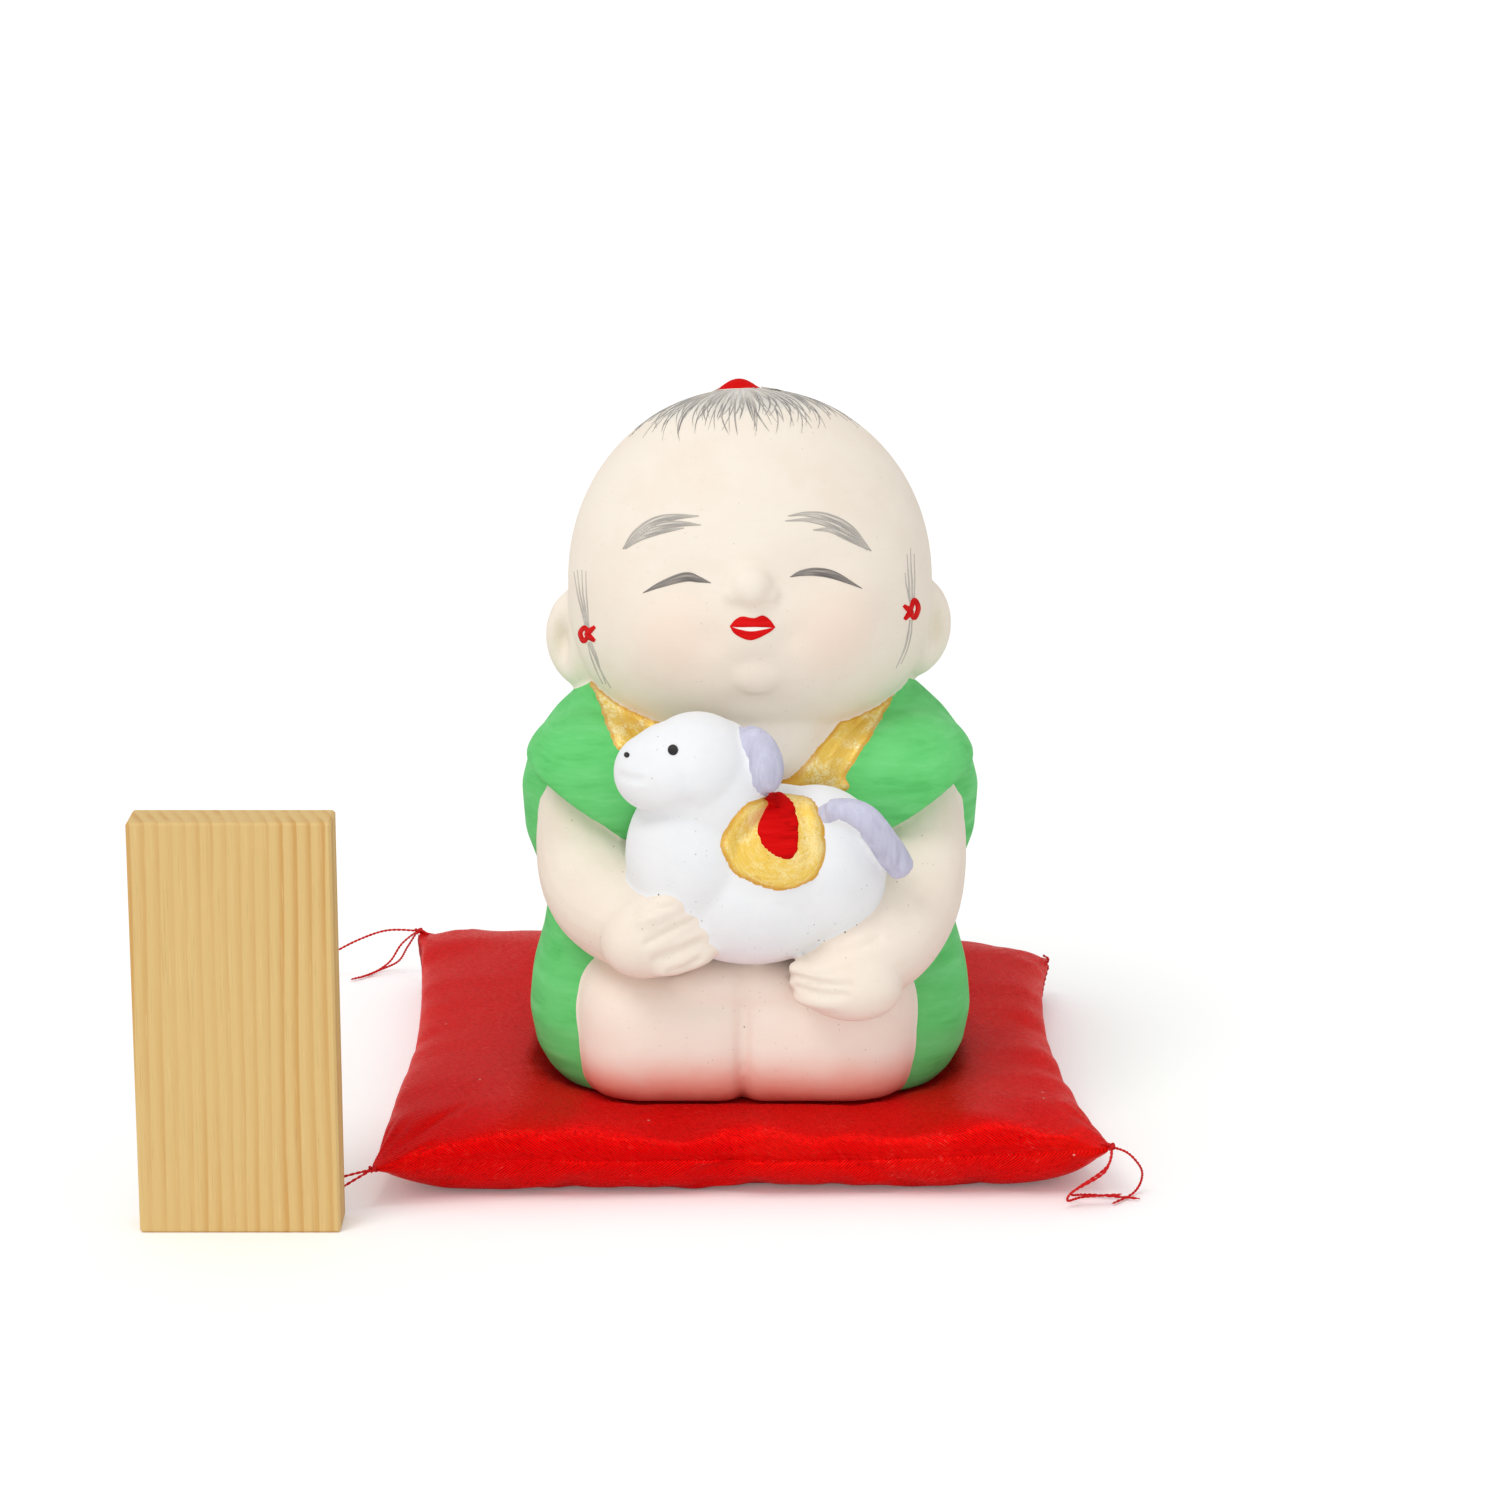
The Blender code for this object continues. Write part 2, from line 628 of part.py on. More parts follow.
def leg_form(side, room=0):
    """One folded leg: a plump rounded form, flat where it rests."""
    radii = LEFT_LEG_RADII if side < 0 else RIGHT_LEG_RADII
    centre = Vector((LEG_GROOVE_X + side * (radii.x + SEAT_GAP / 2), LEG_PLACE_Y, LEG_PLACE_Z))
    shape = rounded_ball(widened(radii, room), LARGE_BALL_SEGMENTS, LARGE_BALL_RINGS, LEG_EXPONENT)
    bmesh.ops.translate(shape, verts=shape.verts, vec=from_foot(centre))
    for vertex in shape.verts:
        offset = vertex.co.x - centre.x
        if offset * side < 0:
            # The two legs press together, so their inner sides are nearly flat.
            width = radii.x + room
            offset = -side * width * abs(offset / width) ** LEG_INNER_EXPONENT
        vertex.co.x = centre.x + offset
        vertex.co.z = max(vertex.co.z, FOOT_Z - room)
    return place("leg", shape)


def hand(centre, turn, side, room):
    """A plump palm and its four fingers, which point across at the horse."""
    turning = turn.to_matrix()
    palm = rounded_ball(widened(PALM_RADII, room), BALL_SEGMENTS, BALL_RINGS)
    bmesh.ops.rotate(palm, verts=palm.verts, cent=(0, 0, 0), matrix=turning)
    bmesh.ops.translate(palm, verts=palm.verts, vec=from_front(centre))
    parts = [place("palm", palm)]
    for number in range(FINGER_COUNT):
        row = number - (FINGER_COUNT - 1) / 2
        finger = rounded_ball(widened(FINGER_RADII, room), SMALL_BALL_SEGMENTS, SMALL_BALL_RINGS)
        spread = Euler((0, side * row * FINGER_SPREAD, 0)).to_matrix()
        offset = Vector((-side * FINGER_REACH, -FINGER_FRONT, row * FINGER_PITCH))
        bmesh.ops.rotate(finger, verts=finger.verts, cent=(0, 0, 0), matrix=spread)
        bmesh.ops.translate(finger, verts=finger.verts, vec=offset)
        bmesh.ops.rotate(finger, verts=finger.verts, cent=(0, 0, 0), matrix=turning)
        bmesh.ops.translate(finger, verts=finger.verts, vec=from_front(centre))
        parts.append(place("finger", finger))
    return parts


def arm_form(side, room=0):
    """An arm with its hand."""
    shoulder = LEFT_SHOULDER_LINE if side < 0 else RIGHT_SHOULDER_LINE
    front = LEFT_FRONT_LINE if side < 0 else RIGHT_FRONT_LINE
    line = [*map(from_foot, shoulder), *map(from_front, front)]
    centre = LEFT_HAND_PLACE if side < 0 else RIGHT_HAND_PLACE
    turn = LEFT_HAND_TURN if side < 0 else RIGHT_HAND_TURN
    bar = tube("arm", line, ARM_RADIUS + room, ARM_RADIUS_SHARES, ARM_RESOLUTION)
    return union((bar, *hand(centre, turn, side, room)))


def horse_form(room=0):
    """The toy horse as one body of joined balls."""
    return union(
        [
            placed_ball("horse_ball", widened(radii, room), from_front(centre), BALL_SEGMENTS, BALL_RINGS)
            for radii, centre in HORSE_BALLS
        ]
    )


def saddle_patch(name, outline, lift, room, material):
    """A raised patch that follows the horse's side inside an outline."""
    patch = settle(name, horse_form(SEAT_GAP + lift), material)
    block = prism(name + "_block", outline, HORSE_NEAR_Y, from_front(HORSE_BARREL[1]).y)
    combine(patch, block, "INTERSECT")
    return cut(patch, room)


def collar(rooms, material):
    """The gold band: two slanting bands in front and one round the nape, raised on the robe's skin."""
    rooms = (robe_form(SEAT_GAP), union(bare_head(SEAT_GAP)), *rooms)
    near = from_foot(Vector((0, -ROBE_FRONT_DEPTH - SLEEVE_RADII.y, 0))).y
    bands = []
    for side in (-1, 1):
        outline = [(side * x, z) for x, z in (*NECKLINE, *BAND_EDGE)]
        bands.append(prism("collar_block", outline, near, from_foot(Vector((0, BAND_BACK, 0))).y))
    top = ROBE_HEIGHT + CUT_OVERRUN
    middle = from_foot(Vector((0, NAPE_FRONT, 0))).y
    far = from_foot(Vector((0, ROBE_BACK_DEPTH, 0))).y
    nape = (
        (-NAPE_HALF_WIDTH, ROBE_HEIGHT - NAPE_DROP),
        (NAPE_HALF_WIDTH, ROBE_HEIGHT - NAPE_DROP),
        (NAPE_HALF_WIDTH, top),
        (-NAPE_HALF_WIDTH, top),
    )
    for name, block in (("collar_front", union(bands)), ("collar_nape", prism("nape_block", nape, middle, far))):
        band = settle(name, robe_form(SEAT_GAP + COLLAR_LIFT), material)
        combine(band, block, "INTERSECT")
        cut(band, rooms)


def cushion_plan(across, along, inset, bulge):
    """A point of the cushion in plan, across and along from -1 to 1, at the seam's height."""
    right = (1 + across) / 2
    back = (1 + along) / 2
    front_point = CUSHION_FRONT_LEFT.lerp(CUSHION_FRONT_RIGHT, right)
    point = front_point.lerp(CUSHION_BACK_LEFT.lerp(CUSHION_BACK_RIGHT, right), back)
    point.x -= across * (SIDE_DRAW * (1 - along**2) + inset - bulge)
    point.y -= along * (SIDE_DRAW * (1 - across**2) + inset - bulge)
    point.z = SEAM_HEIGHT + (point.z - SEAM_HEIGHT) * (across * along) ** LIFT_EXPONENT
    return point


def cushion_swell(across, along):
    """How full the cushion is, from 0 at the seam to 1 inside."""
    inner = (1 - abs(across) ** FOLD_EXPONENT) * (1 - abs(along) ** FOLD_EXPONENT)
    return inner**CORNER_EXPONENT


def dent_share(x, y):
    """How far the doll presses the cushion down: 1 below it, 0 clear of it."""
    middle = (DENT_FRONT + DENT_BACK) / 2
    half_depth = (DENT_BACK - DENT_FRONT) / 2
    powers = abs(x / DENT_HALF_WIDTH) ** DENT_EXPONENT + abs((y - middle) / half_depth) ** DENT_EXPONENT
    beyond = (powers ** (1 / DENT_EXPONENT) - 1) * DENT_HALF_WIDTH / DENT_SLOPE
    if beyond >= 1:
        return 0
    return (1 + math.cos(math.pi * max(0, beyond))) / 2


def upper_skin(across, along, inset):
    """A point on the cushion's upper side, this far inside its skin."""
    swell = cushion_swell(across, along)
    point = cushion_plan(across, along, inset, 4 * SIDE_BULGE * swell * (1 - swell))
    free = point.z + SEAT_GAP / 2 + (CUSHION_CROWN - inset) * swell
    pressed = min(free, SEAT_HEIGHT - inset)
    point.z = free + (pressed - free) * dent_share(point.x, point.y)
    return point


def lower_skin(across, along, inset):
    """A point on the cushion's lower side, flat on the table away from its edges."""
    swell = cushion_swell(across, along)
    point = cushion_plan(across, along, inset, 4 * SIDE_BULGE * swell * (1 - swell))
    flatness = (1 - swell) ** 2
    skin = (point.z - SEAT_GAP / 2) * flatness - FLAT_DEPTH * swell
    point.z = max(0, skin) + inset * (1 - flatness)
    return point


def split_towards_middle(shape):
    """Cut each cell of a grid along the diagonal that points to the grid's middle."""
    for face in list(shape.faces):
        corners = list(face.verts)
        middle = face.calc_center_median()
        first, second = corners[2].co - corners[0].co, corners[3].co - corners[1].co
        start = 0 if abs(first.dot(middle)) > abs(second.dot(middle)) else 1
        bmesh.utils.face_split(face, corners[start], corners[start + 2])


def padded_layer(name, upper, upper_inset, lower, lower_inset, material):
    """A closed layer between two skins of the cushion, from one grid."""
    shape = bmesh.new()
    bmesh.ops.create_grid(shape, x_segments=PANEL_CELLS, y_segments=PANEL_CELLS, size=1)
    split_towards_middle(shape)
    below = list(shape.verts)
    raised = bmesh.ops.extrude_face_region(shape, geom=list(shape.faces))
    above = [item for item in raised["geom"] if isinstance(item, bmesh.types.BMVert)]
    quarter = math.pi / 2 * EDGE_CROWDING
    for verts, skin, inset in ((below, lower, lower_inset), (above, upper, upper_inset)):
        for vertex in verts:
            across = math.sin(vertex.co.x * quarter) / math.sin(quarter)
            along = math.sin(vertex.co.y * quarter) / math.sin(quarter)
            vertex.co = skin(across, along, inset)
    return place(name, shape, material)


def cushion(satin, wadding):
    """The cushion's upper panel, lower panel and wadding."""
    inner = SATIN_THICKNESS + SEAT_GAP
    padded_layer("cushion_cover_top", upper_skin, 0, upper_skin, SATIN_THICKNESS, satin)
    padded_layer("cushion_cover_bottom", lower_skin, SATIN_THICKNESS, lower_skin, 0, satin)
    padded_layer("cushion_wadding", upper_skin, inner, lower_skin, inner, wadding)


def corner_threads(name, corner, strands, material):
    """The knot at one corner of the cushion, with its loose strands of sewing thread."""
    outward = Vector((corner.x, corner.y, 0)).normalized()
    middle = corner + KNOT_OUT * outward
    knot = rounded_ball((KNOT_RADIUS,) * 3, SMALL_BALL_SEGMENTS, SMALL_BALL_RINGS)
    bmesh.ops.translate(knot, verts=knot.verts, vec=middle)
    parts = [place(name, knot, material)]
    for strand in strands:
        shares = [1] * (len(strand) + 1)
        parts.append(tube("strand", (middle, *strand), THREAD_RADIUS, shares, 0))
    union(parts)


def name_tablet(material):
    """The sawn wooden tablet that stands beside the cushion."""
    shape = bmesh.new()
    bmesh.ops.create_cube(shape, size=1)
    bmesh.ops.scale(shape, vec=(TABLET_WIDTH, TABLET_DEPTH, TABLET_HEIGHT), verts=shape.verts)
    bmesh.ops.bevel(shape, geom=list(shape.edges), offset=TABLET_EDGE, segments=1, affect="EDGES")
    middle = Vector((TABLET_MIDDLE_X, TABLET_FRONT_Y + TABLET_DEPTH / 2, TABLET_HEIGHT / 2))
    bmesh.ops.translate(shape, verts=shape.verts, vec=middle)
    return place("name_tablet", shape, material)


# The depth in front of everything the horse carries, where its patches' blocks start
HORSE_NEAR_Y = from_front(HORSE_MUZZLE[1] - Vector((0, 2 * HORSE_MUZZLE[0].y, 0))).y


def main():
    """Build every piece."""
    clear_scene()
    flesh = finish("clay_flesh", CLAY_FLESH, 0.85)
    white = finish("clay_white", CLAY_WHITE, 0.85)
    green = finish("paint_green", PAINT_GREEN, 0.80)
    gold = finish("paint_gold", PAINT_GOLD, 0.45, 0.6)
    red = finish("paint_red", PAINT_RED, 0.60)
    lilac = finish("paint_lilac", PAINT_LILAC, 0.85)
    satin = finish("satin_red", SATIN_RED, 0.40)
    wadding = finish("wadding", WADDING_WHITE, 0.95)
    cedar = finish("cedar", CEDAR, 0.75)

    head_room = head_form(SEAT_GAP)
    arm_rooms = [arm_form(side, SEAT_GAP) for side in (-1, 1)]
    horse_room = horse_form(SEAT_GAP)
    leg_rooms = [leg_form(side, SEAT_GAP) for side in (-1, 1)]

    cut(settle("head", head_form(), flesh), [])
    crown_tie(head_room, red)
    cut(settle("left_arm", arm_form(-1), flesh), [head_room])
    cut(settle("right_arm", arm_form(1), flesh), [head_room])
    cut(settle("horse", horse_form(), white), (head_room, *arm_rooms))
    cut(settle("left_leg", leg_form(-1), flesh), (*arm_rooms, horse_room))
    cut(settle("right_leg", leg_form(1), flesh), (*arm_rooms, horse_room))
    cut(settle("robe", robe_form(), green), (head_room, *arm_rooms, horse_room, *leg_rooms, vent()))

    cloth_room = horse_form(SEAT_GAP + RELIEF_LIFT + SEAT_GAP)
    saddle_patch("saddle_cloth", oval(*SADDLE_CLOTH_OVAL), RELIEF_LIFT, [horse_room], gold)
    saddle_patch("saddle_seat", oval(*SADDLE_SEAT_OVAL), RELIEF_LIFT + SEAT_LIFT, [cloth_room], red)
    far_y = from_front(HORSE_BARREL[1]).y
    seat_room = prism("seat_room", oval(*SADDLE_SEAT_OVAL, SEAT_GAP), HORSE_NEAR_Y, far_y)
    for name, line, radius, shares in (
        ("horse_mane", MANE_LINE, MANE_RADIUS, MANE_RADIUS_SHARES),
        ("horse_tail", TAIL_LINE, TAIL_RADIUS, TAIL_RADIUS_SHARES),
    ):
        bar = tube(name, [*map(from_front, line)], radius, shares, ARM_RESOLUTION, lilac)
        cut(bar, (horse_room, *arm_rooms, cloth_room, seat_room))
    collar((horse_room, *arm_rooms), gold)

    cushion(satin, wadding)
    for name, corner, strands in (
        ("threads_front_left", CUSHION_FRONT_LEFT, (FRONT_LEFT_LONG_STRAND, FRONT_LEFT_SHORT_STRAND)),
        (
            "threads_front_right",
            CUSHION_FRONT_RIGHT,
            (FRONT_RIGHT_OUTER_STRAND, FRONT_RIGHT_INNER_STRAND, FRONT_RIGHT_LOOP_STRAND),
        ),
        ("threads_back_left", CUSHION_BACK_LEFT, (BACK_LEFT_LONG_STRAND, BACK_LEFT_NEAR_STRAND, BACK_LEFT_FAR_STRAND)),
    ):
        corner_threads(name, corner, strands, satin)
    name_tablet(cedar)


main()
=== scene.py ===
"""Looks of a gosho doll: a clay boy with a toy horse in the arms, on a satin cushion beside a bare name tablet.

The clay castings are fused into one soft skin first, as slip fuses the real ones, and every painted piece is
then cut from that skin along its border. Sizes are in metres, and places in the photograph are in its own pixels.
"""

import logging
import math
import random
from dataclasses import dataclass, field
from enum import Enum
from typing import Any, Iterable, Sequence

import bmesh
import bpy
import numpy as np
from mathutils import Euler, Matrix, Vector
from mathutils.bvhtree import BVHTree
from mathutils.kdtree import KDTree


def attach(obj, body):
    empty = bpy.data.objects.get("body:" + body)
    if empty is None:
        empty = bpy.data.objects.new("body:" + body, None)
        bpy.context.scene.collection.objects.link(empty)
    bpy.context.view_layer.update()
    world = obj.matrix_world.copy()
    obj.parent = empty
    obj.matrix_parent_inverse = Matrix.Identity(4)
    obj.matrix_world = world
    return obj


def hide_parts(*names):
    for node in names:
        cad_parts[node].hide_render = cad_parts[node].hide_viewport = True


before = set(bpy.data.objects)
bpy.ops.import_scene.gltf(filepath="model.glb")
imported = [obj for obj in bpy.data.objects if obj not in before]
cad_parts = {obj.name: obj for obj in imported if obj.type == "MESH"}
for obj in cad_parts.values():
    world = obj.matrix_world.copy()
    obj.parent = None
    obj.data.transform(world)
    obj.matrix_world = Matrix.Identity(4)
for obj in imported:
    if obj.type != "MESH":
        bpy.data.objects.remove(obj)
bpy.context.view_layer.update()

log = logging.getLogger("gosho_doll")

Pixel = tuple[float, float]
Colour = tuple[float, float, float]
Place = tuple[float, float, float]
Array = np.ndarray
Piece = bpy.types.Object
Shape = bmesh.types.BMesh
Material = bpy.types.Material
Socket = bpy.types.NodeSocket

FOOT_Z = 0.0083
DOLL_MIDDLE_Y = -0.0060
VOXEL = 0.00042
PX_PER_M = 8000
WELD = 0.00001
BELOW_TABLE = -0.02
TINY = 1e-9
TINY_SQUARE = 1e-12

# The cushion's corners, where both panels and the threads meet
CORNERS: dict[str, Place] = {
    "front_left": (-0.0472, -0.0451, 0.0050),
    "front_right": (0.0454, -0.0430, 0.0072),
    "back_left": (-0.0486, 0.0500, 0.0080),
    "back_right": (0.0433, 0.0430, 0.0058),
}


class Body(Enum):
    """The bodies that the pieces ride on."""

    CUSHION = "cushion"
    DOLL = "doll"
    TABLET = "tablet"


class Slot(Enum):
    """The record's material slots."""

    FLESH = "clay_flesh"
    WHITE = "clay_white"
    GREEN = "paint_green"
    GOLD = "paint_gold"
    RED = "paint_red"
    LILAC = "paint_lilac"
    SATIN = "satin_red"
    CEDAR = "cedar"
    INK = "ink_grey"


def linear(red: int, green: int, blue: int) -> Colour:
    """Turn a colour as a screen shows it, 0 to 255, into the linear one that a shader takes.

    Args:
        red, green, blue: the colour's three values.

    Returns:
        The linear colour, 0 to 1.
    """
    shares = (value / 255 for value in (red, green, blue))
    return tuple(s / 12.92 if s <= 0.04045 else ((s + 0.055) / 1.055) ** 2.4 for s in shares)


def from_foot(x: float, y: float, z: float) -> Vector:
    """A place measured from the doll's foot, in the part's frame."""
    return Vector((x, y + DOLL_MIDDLE_Y, z + FOOT_Z))


HEAD_MIDDLE = from_foot(0, -0.0010, 0.0637)


def bell(share: Array) -> Array:
    """A soft bump that is 1 at zero and next to nothing beyond 2."""
    return np.exp(-(share**2))


def smooth_line(points: Sequence[Sequence[float]], count: int, closed: bool = False) -> Array:
    """Resample a line through its points, as a smooth curve.

    Args:
        points: the points, with any number of values each.
        count: how many points the result has.
        closed: whether the line returns to its start.

    Returns:
        An array of count rows.
    """
    given = np.array(points, float)
    if closed:
        given = np.vstack((given[-1], given, given[:2]))
    else:
        given = np.vstack((2 * given[0] - given[1], given, 2 * given[-1] - given[-2]))
    spans = len(given) - 3
    where = np.linspace(0, spans, count, endpoint=not closed)
    span = np.minimum(where.astype(int), spans - 1)
    t = (where - span)[:, None]
    a, b, c, d = given[span], given[span + 1], given[span + 2], given[span + 3]
    return 0.5 * (2 * b + (c - a) * t + (2 * a - 5 * b + 4 * c - d) * t**2 + (3 * b - a - 3 * c + d) * t**3)


def depth_in_outline(where: Array, outline: Array) -> Array:
    """How deep flat points lie inside a closed outline; outside it the depth is negative.

    Args:
        where: the points, one row each.
        outline: the outline's corners.

    Returns:
        One depth for each point.
    """
    nearest = np.full(len(where), np.inf)
    inside = np.zeros(len(where), bool)
    for start, end in zip(outline, np.roll(outline, -1, axis=0)):
        run = end - start
        share = np.clip(((where - start) @ run) / max(run @ run, TINY_SQUARE), 0, 1)
        nearest = np.minimum(nearest, np.hypot(*(where - start - share[:, None] * run).T))
        crosses = (start[1] > where[:, 1]) != (end[1] > where[:, 1])
        rise = run[1] if run[1] else TINY_SQUARE
        inside ^= crosses & (where[:, 0] < start[0] + (where[:, 1] - start[1]) * run[0] / rise)
    return np.where(inside, nearest, -nearest)


def distance_to_line(where: Array, line: Array) -> Array:
    """How far flat points lie from an open line."""
    nearest = np.full(len(where), np.inf)
    for start, end in zip(line, line[1:]):
        run = end - start
        share = np.clip(((where - start) @ run) / max(run @ run, TINY_SQUARE), 0, 1)
        nearest = np.minimum(nearest, np.hypot(*(where - start - share[:, None] * run).T))
    return nearest


def soft_noise(where: Array, size: float, seed: int) -> Array:
    """A smooth random value between about -1 and 1 at each point.

    Args:
        where: the points, one row each.
        size: the length over which the value changes.
        seed: picks one pattern.

    Returns:
        One value for each point.
    """
    waves, usual_peak = 7, 3.2
    dice = np.random.default_rng(seed)
    total = np.zeros(len(where))
    for _ in range(waves):
        way = dice.normal(size=where.shape[1])
        total += np.sin(where @ (way * math.tau / size / 2) + dice.uniform(0, math.tau))
    return total / usual_peak


def new_piece(name: str, shape: Shape, material: Material | None = None) -> Piece:
    """Turn a bmesh into a smooth shaded object that stays at the origin."""
    mesh = bpy.data.meshes.new(name)
    shape.to_mesh(mesh)
    shape.free()
    mesh.shade_smooth()
    if material:
        mesh.materials.append(material)
    made = bpy.data.objects.new(name, mesh)
    bpy.context.scene.collection.objects.link(made)
    return made


def places_of(mesh: bpy.types.Mesh) -> Array:
    """The places of a mesh's points, one row each."""
    places = np.empty(3 * len(mesh.vertices))
    mesh.vertices.foreach_get("co", places)
    return places.reshape(-1, 3)


def pour(source: Shape, target: Shape) -> None:
    """Add one shape to another."""
    mesh = bpy.data.meshes.new("poured")
    source.to_mesh(mesh)
    target.from_mesh(mesh)
    bpy.data.meshes.remove(mesh)


def hand_over(piece: Piece, body: Body, replaced: Iterable[str] = ()) -> Piece:
    """Attach a piece to the body that it rides on and hide the nodes that it stands for."""
    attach(piece, body.value)
    if replaced:
        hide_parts(*replaced)
    log.info("%s: %d faces on %s", piece.name, len(piece.data.polygons), body.value)
    return piece


@dataclass(frozen=True)
class PhotoCamera:
    """The camera that took the photograph, as fitted to it."""

    place: Place = (0, -0.5464, 0.1838)
    tilt: float = math.radians(76)
    lens_mm: float = 102.24
    sensor_mm: float = 36
    frame_px: int = 1500
    clip_end: float = 10

    @property
    def focal_px(self) -> float:
        """The focal length in pixels."""
        return self.lens_mm / self.sensor_mm * self.frame_px

    @property
    def ahead(self) -> Vector:
        """The way that the camera looks."""
        return Vector((0, math.sin(self.tilt), -math.cos(self.tilt)))

    @property
    def up(self) -> Vector:
        """The camera's upward way."""
        return Vector((0, math.cos(self.tilt), math.sin(self.tilt)))

    def build(self) -> Piece:
        """Make the camera the scene's own."""
        data = bpy.data.cameras.new("photo_camera")
        data.lens = self.lens_mm
        data.sensor_width = self.sensor_mm
        data.clip_end = self.clip_end
        made = bpy.data.objects.new("photo_camera", data)
        made.location = self.place
        made.rotation_euler = (self.tilt, 0, 0)
        bpy.context.scene.collection.objects.link(made)
        bpy.context.scene.camera = made
        return made

    def pixels(self, points: Array) -> Array:
        """Where points of space appear in the photograph.

        Args:
            points: one row for each point.

        Returns:
            Pixels across and down, one row each.
        """
        offset = points - np.array(self.place)
        depth = offset @ np.array(self.ahead)
        across = offset[:, 0] / depth
        rise = (offset @ np.array(self.up)) / depth
        middle = self.frame_px / 2
        return np.column_stack((middle + self.focal_px * across, middle - self.focal_px * rise))

    def ray(self, pixel: Sequence[float]) -> Vector:
        """The way from the camera through a pixel."""
        middle = self.frame_px / 2
        across = float(pixel[0] - middle) / self.focal_px
        rise = float(middle - pixel[1]) / self.focal_px
        return (self.ahead + Vector((across, 0, 0)) + rise * self.up).normalized()


CAMERA = PhotoCamera()


class NodeSheet:
    """One material whose nodes are added from short calls."""

    def __init__(self, name: str) -> None:
        """Start a material with its Principled shader."""
        self.material = bpy.data.materials.new(name)
        self.material.use_nodes = True
        self.tree = self.material.node_tree
        self.shader = self.tree.nodes["Principled BSDF"]

    def add(self, kind: str, inputs: dict[Any, Any] | None = None, **settings: Any) -> bpy.types.Node:
        """Add a node, set it up and link or fill its inputs.

        Args:
            kind: the node's type without its ShaderNode prefix.
            inputs: a socket or a plain value for each named or numbered input.
            settings: the node's own properties.

        Returns:
            The node.
        """
        node = self.tree.nodes.new("ShaderNode" + kind)
        for key, value in settings.items():
            setattr(node, key, value)
        for key, value in (inputs or {}).items():
            self.put(node.inputs[key], value)
        return node

    def put(self, socket: Socket, value: Any) -> None:
        """Link a socket, or fill it with a plain value."""
        if isinstance(value, Socket):
            self.tree.links.new(value, socket)
        elif isinstance(value, tuple) and len(value) == 3 and socket.type == "RGBA":
            socket.default_value = (*value, 1)
        else:
            socket.default_value = value

    def shade(self, **inputs: Any) -> Material:
        """Fill the shader's inputs, named with underscores for spaces, and return the material."""
        for key, value in inputs.items():
            self.put(self.shader.inputs[key.replace("_", " ").replace("Ior", "IOR")], value)
        return self.material

    def place(self, scale: Place = (1, 1, 1), turn: Place = (0, 0, 0), uv: bool = False) -> Socket:
        """Coordinates of the piece, in metres or in its own UV map, stretched and turned."""
        source = self.add("TexCoord").outputs["UV" if uv else "Object"]
        return self.add("Mapping", {"Vector": source, "Scale": scale, "Rotation": turn}).outputs[0]

    def noise(self, where: Socket, scale: float, detail: float = 3, rough: float = 0.5, bend: float = 0) -> Socket:
        """A noise value between 0 and 1."""
        inputs = {"Vector": where, "Scale": scale, "Detail": detail, "Roughness": rough, "Distortion": bend}
        return self.add("TexNoise", inputs).outputs[0]

    def spread(self, value: Any, low: float, high: float, first: float = 0, last: float = 1) -> Socket:
        """Stretch a value from one range to another, softly at both ends."""
        inputs = {0: value, 1: low, 2: high, 3: first, 4: last}
        return self.add("MapRange", inputs, interpolation_type="SMOOTHSTEP").outputs[0]

    def mix(self, share: Any, first: Any, second: Any, blend: str = "MIX") -> Socket:
        """Blend two colours."""
        return self.add("Mix", {0: share, 6: first, 7: second}, data_type="RGBA", blend_type=blend).outputs[2]

    def sum(self, kind: str, first: Any, second: Any = 0.0) -> Socket:
        """Reckon with two numbers."""
        return self.add("Math", {0: first, 1: second}, operation=kind).outputs[0]

    def product(self, first: Any, second: Any) -> Socket:
        """Multiply two numbers."""
        return self.sum("MULTIPLY", first, second)

    def dots(
        self, where: Socket, scale: float, reach: tuple[float, float], chosen: tuple[float, float]
    ) -> Socket:
        """Scattered dots, 1 in the middle of the chosen cells and 0 elsewhere.

        Args:
            where: the coordinates of the cells.
            scale: how many cells lie side by side in a metre.
            reach: the distances, in cells, at which a dot starts and ends to fade.
            chosen: the limits between which a cell's random value starts and ends to choose it.

        Returns:
            The strength of the dots.
        """
        cells = self.add("TexVoronoi", {"Vector": where, "Scale": scale, "Randomness": 1.0})
        dot = self.spread(cells.outputs["Distance"], *reach, 1, 0)
        pick = self.spread(self.add("SeparateColor", {0: cells.outputs["Color"]}).outputs[0], *chosen)
        return self.product(dot, pick)

    def value(self, name: str) -> Socket:
        """Read a number that is kept with the mesh."""
        return self.add("Attribute", attribute_name=name).outputs["Fac"]

    def relief(self, height: Any, depth: float, strength: float = 1, over: Any = None) -> Socket:
        """Turn a height between 0 and 1 into a bump this deep."""
        inputs = {"Height": height, "Distance": depth, "Strength": strength}
        if over:
            inputs["Normal"] = over
        return self.add("Bump", inputs).outputs[0]


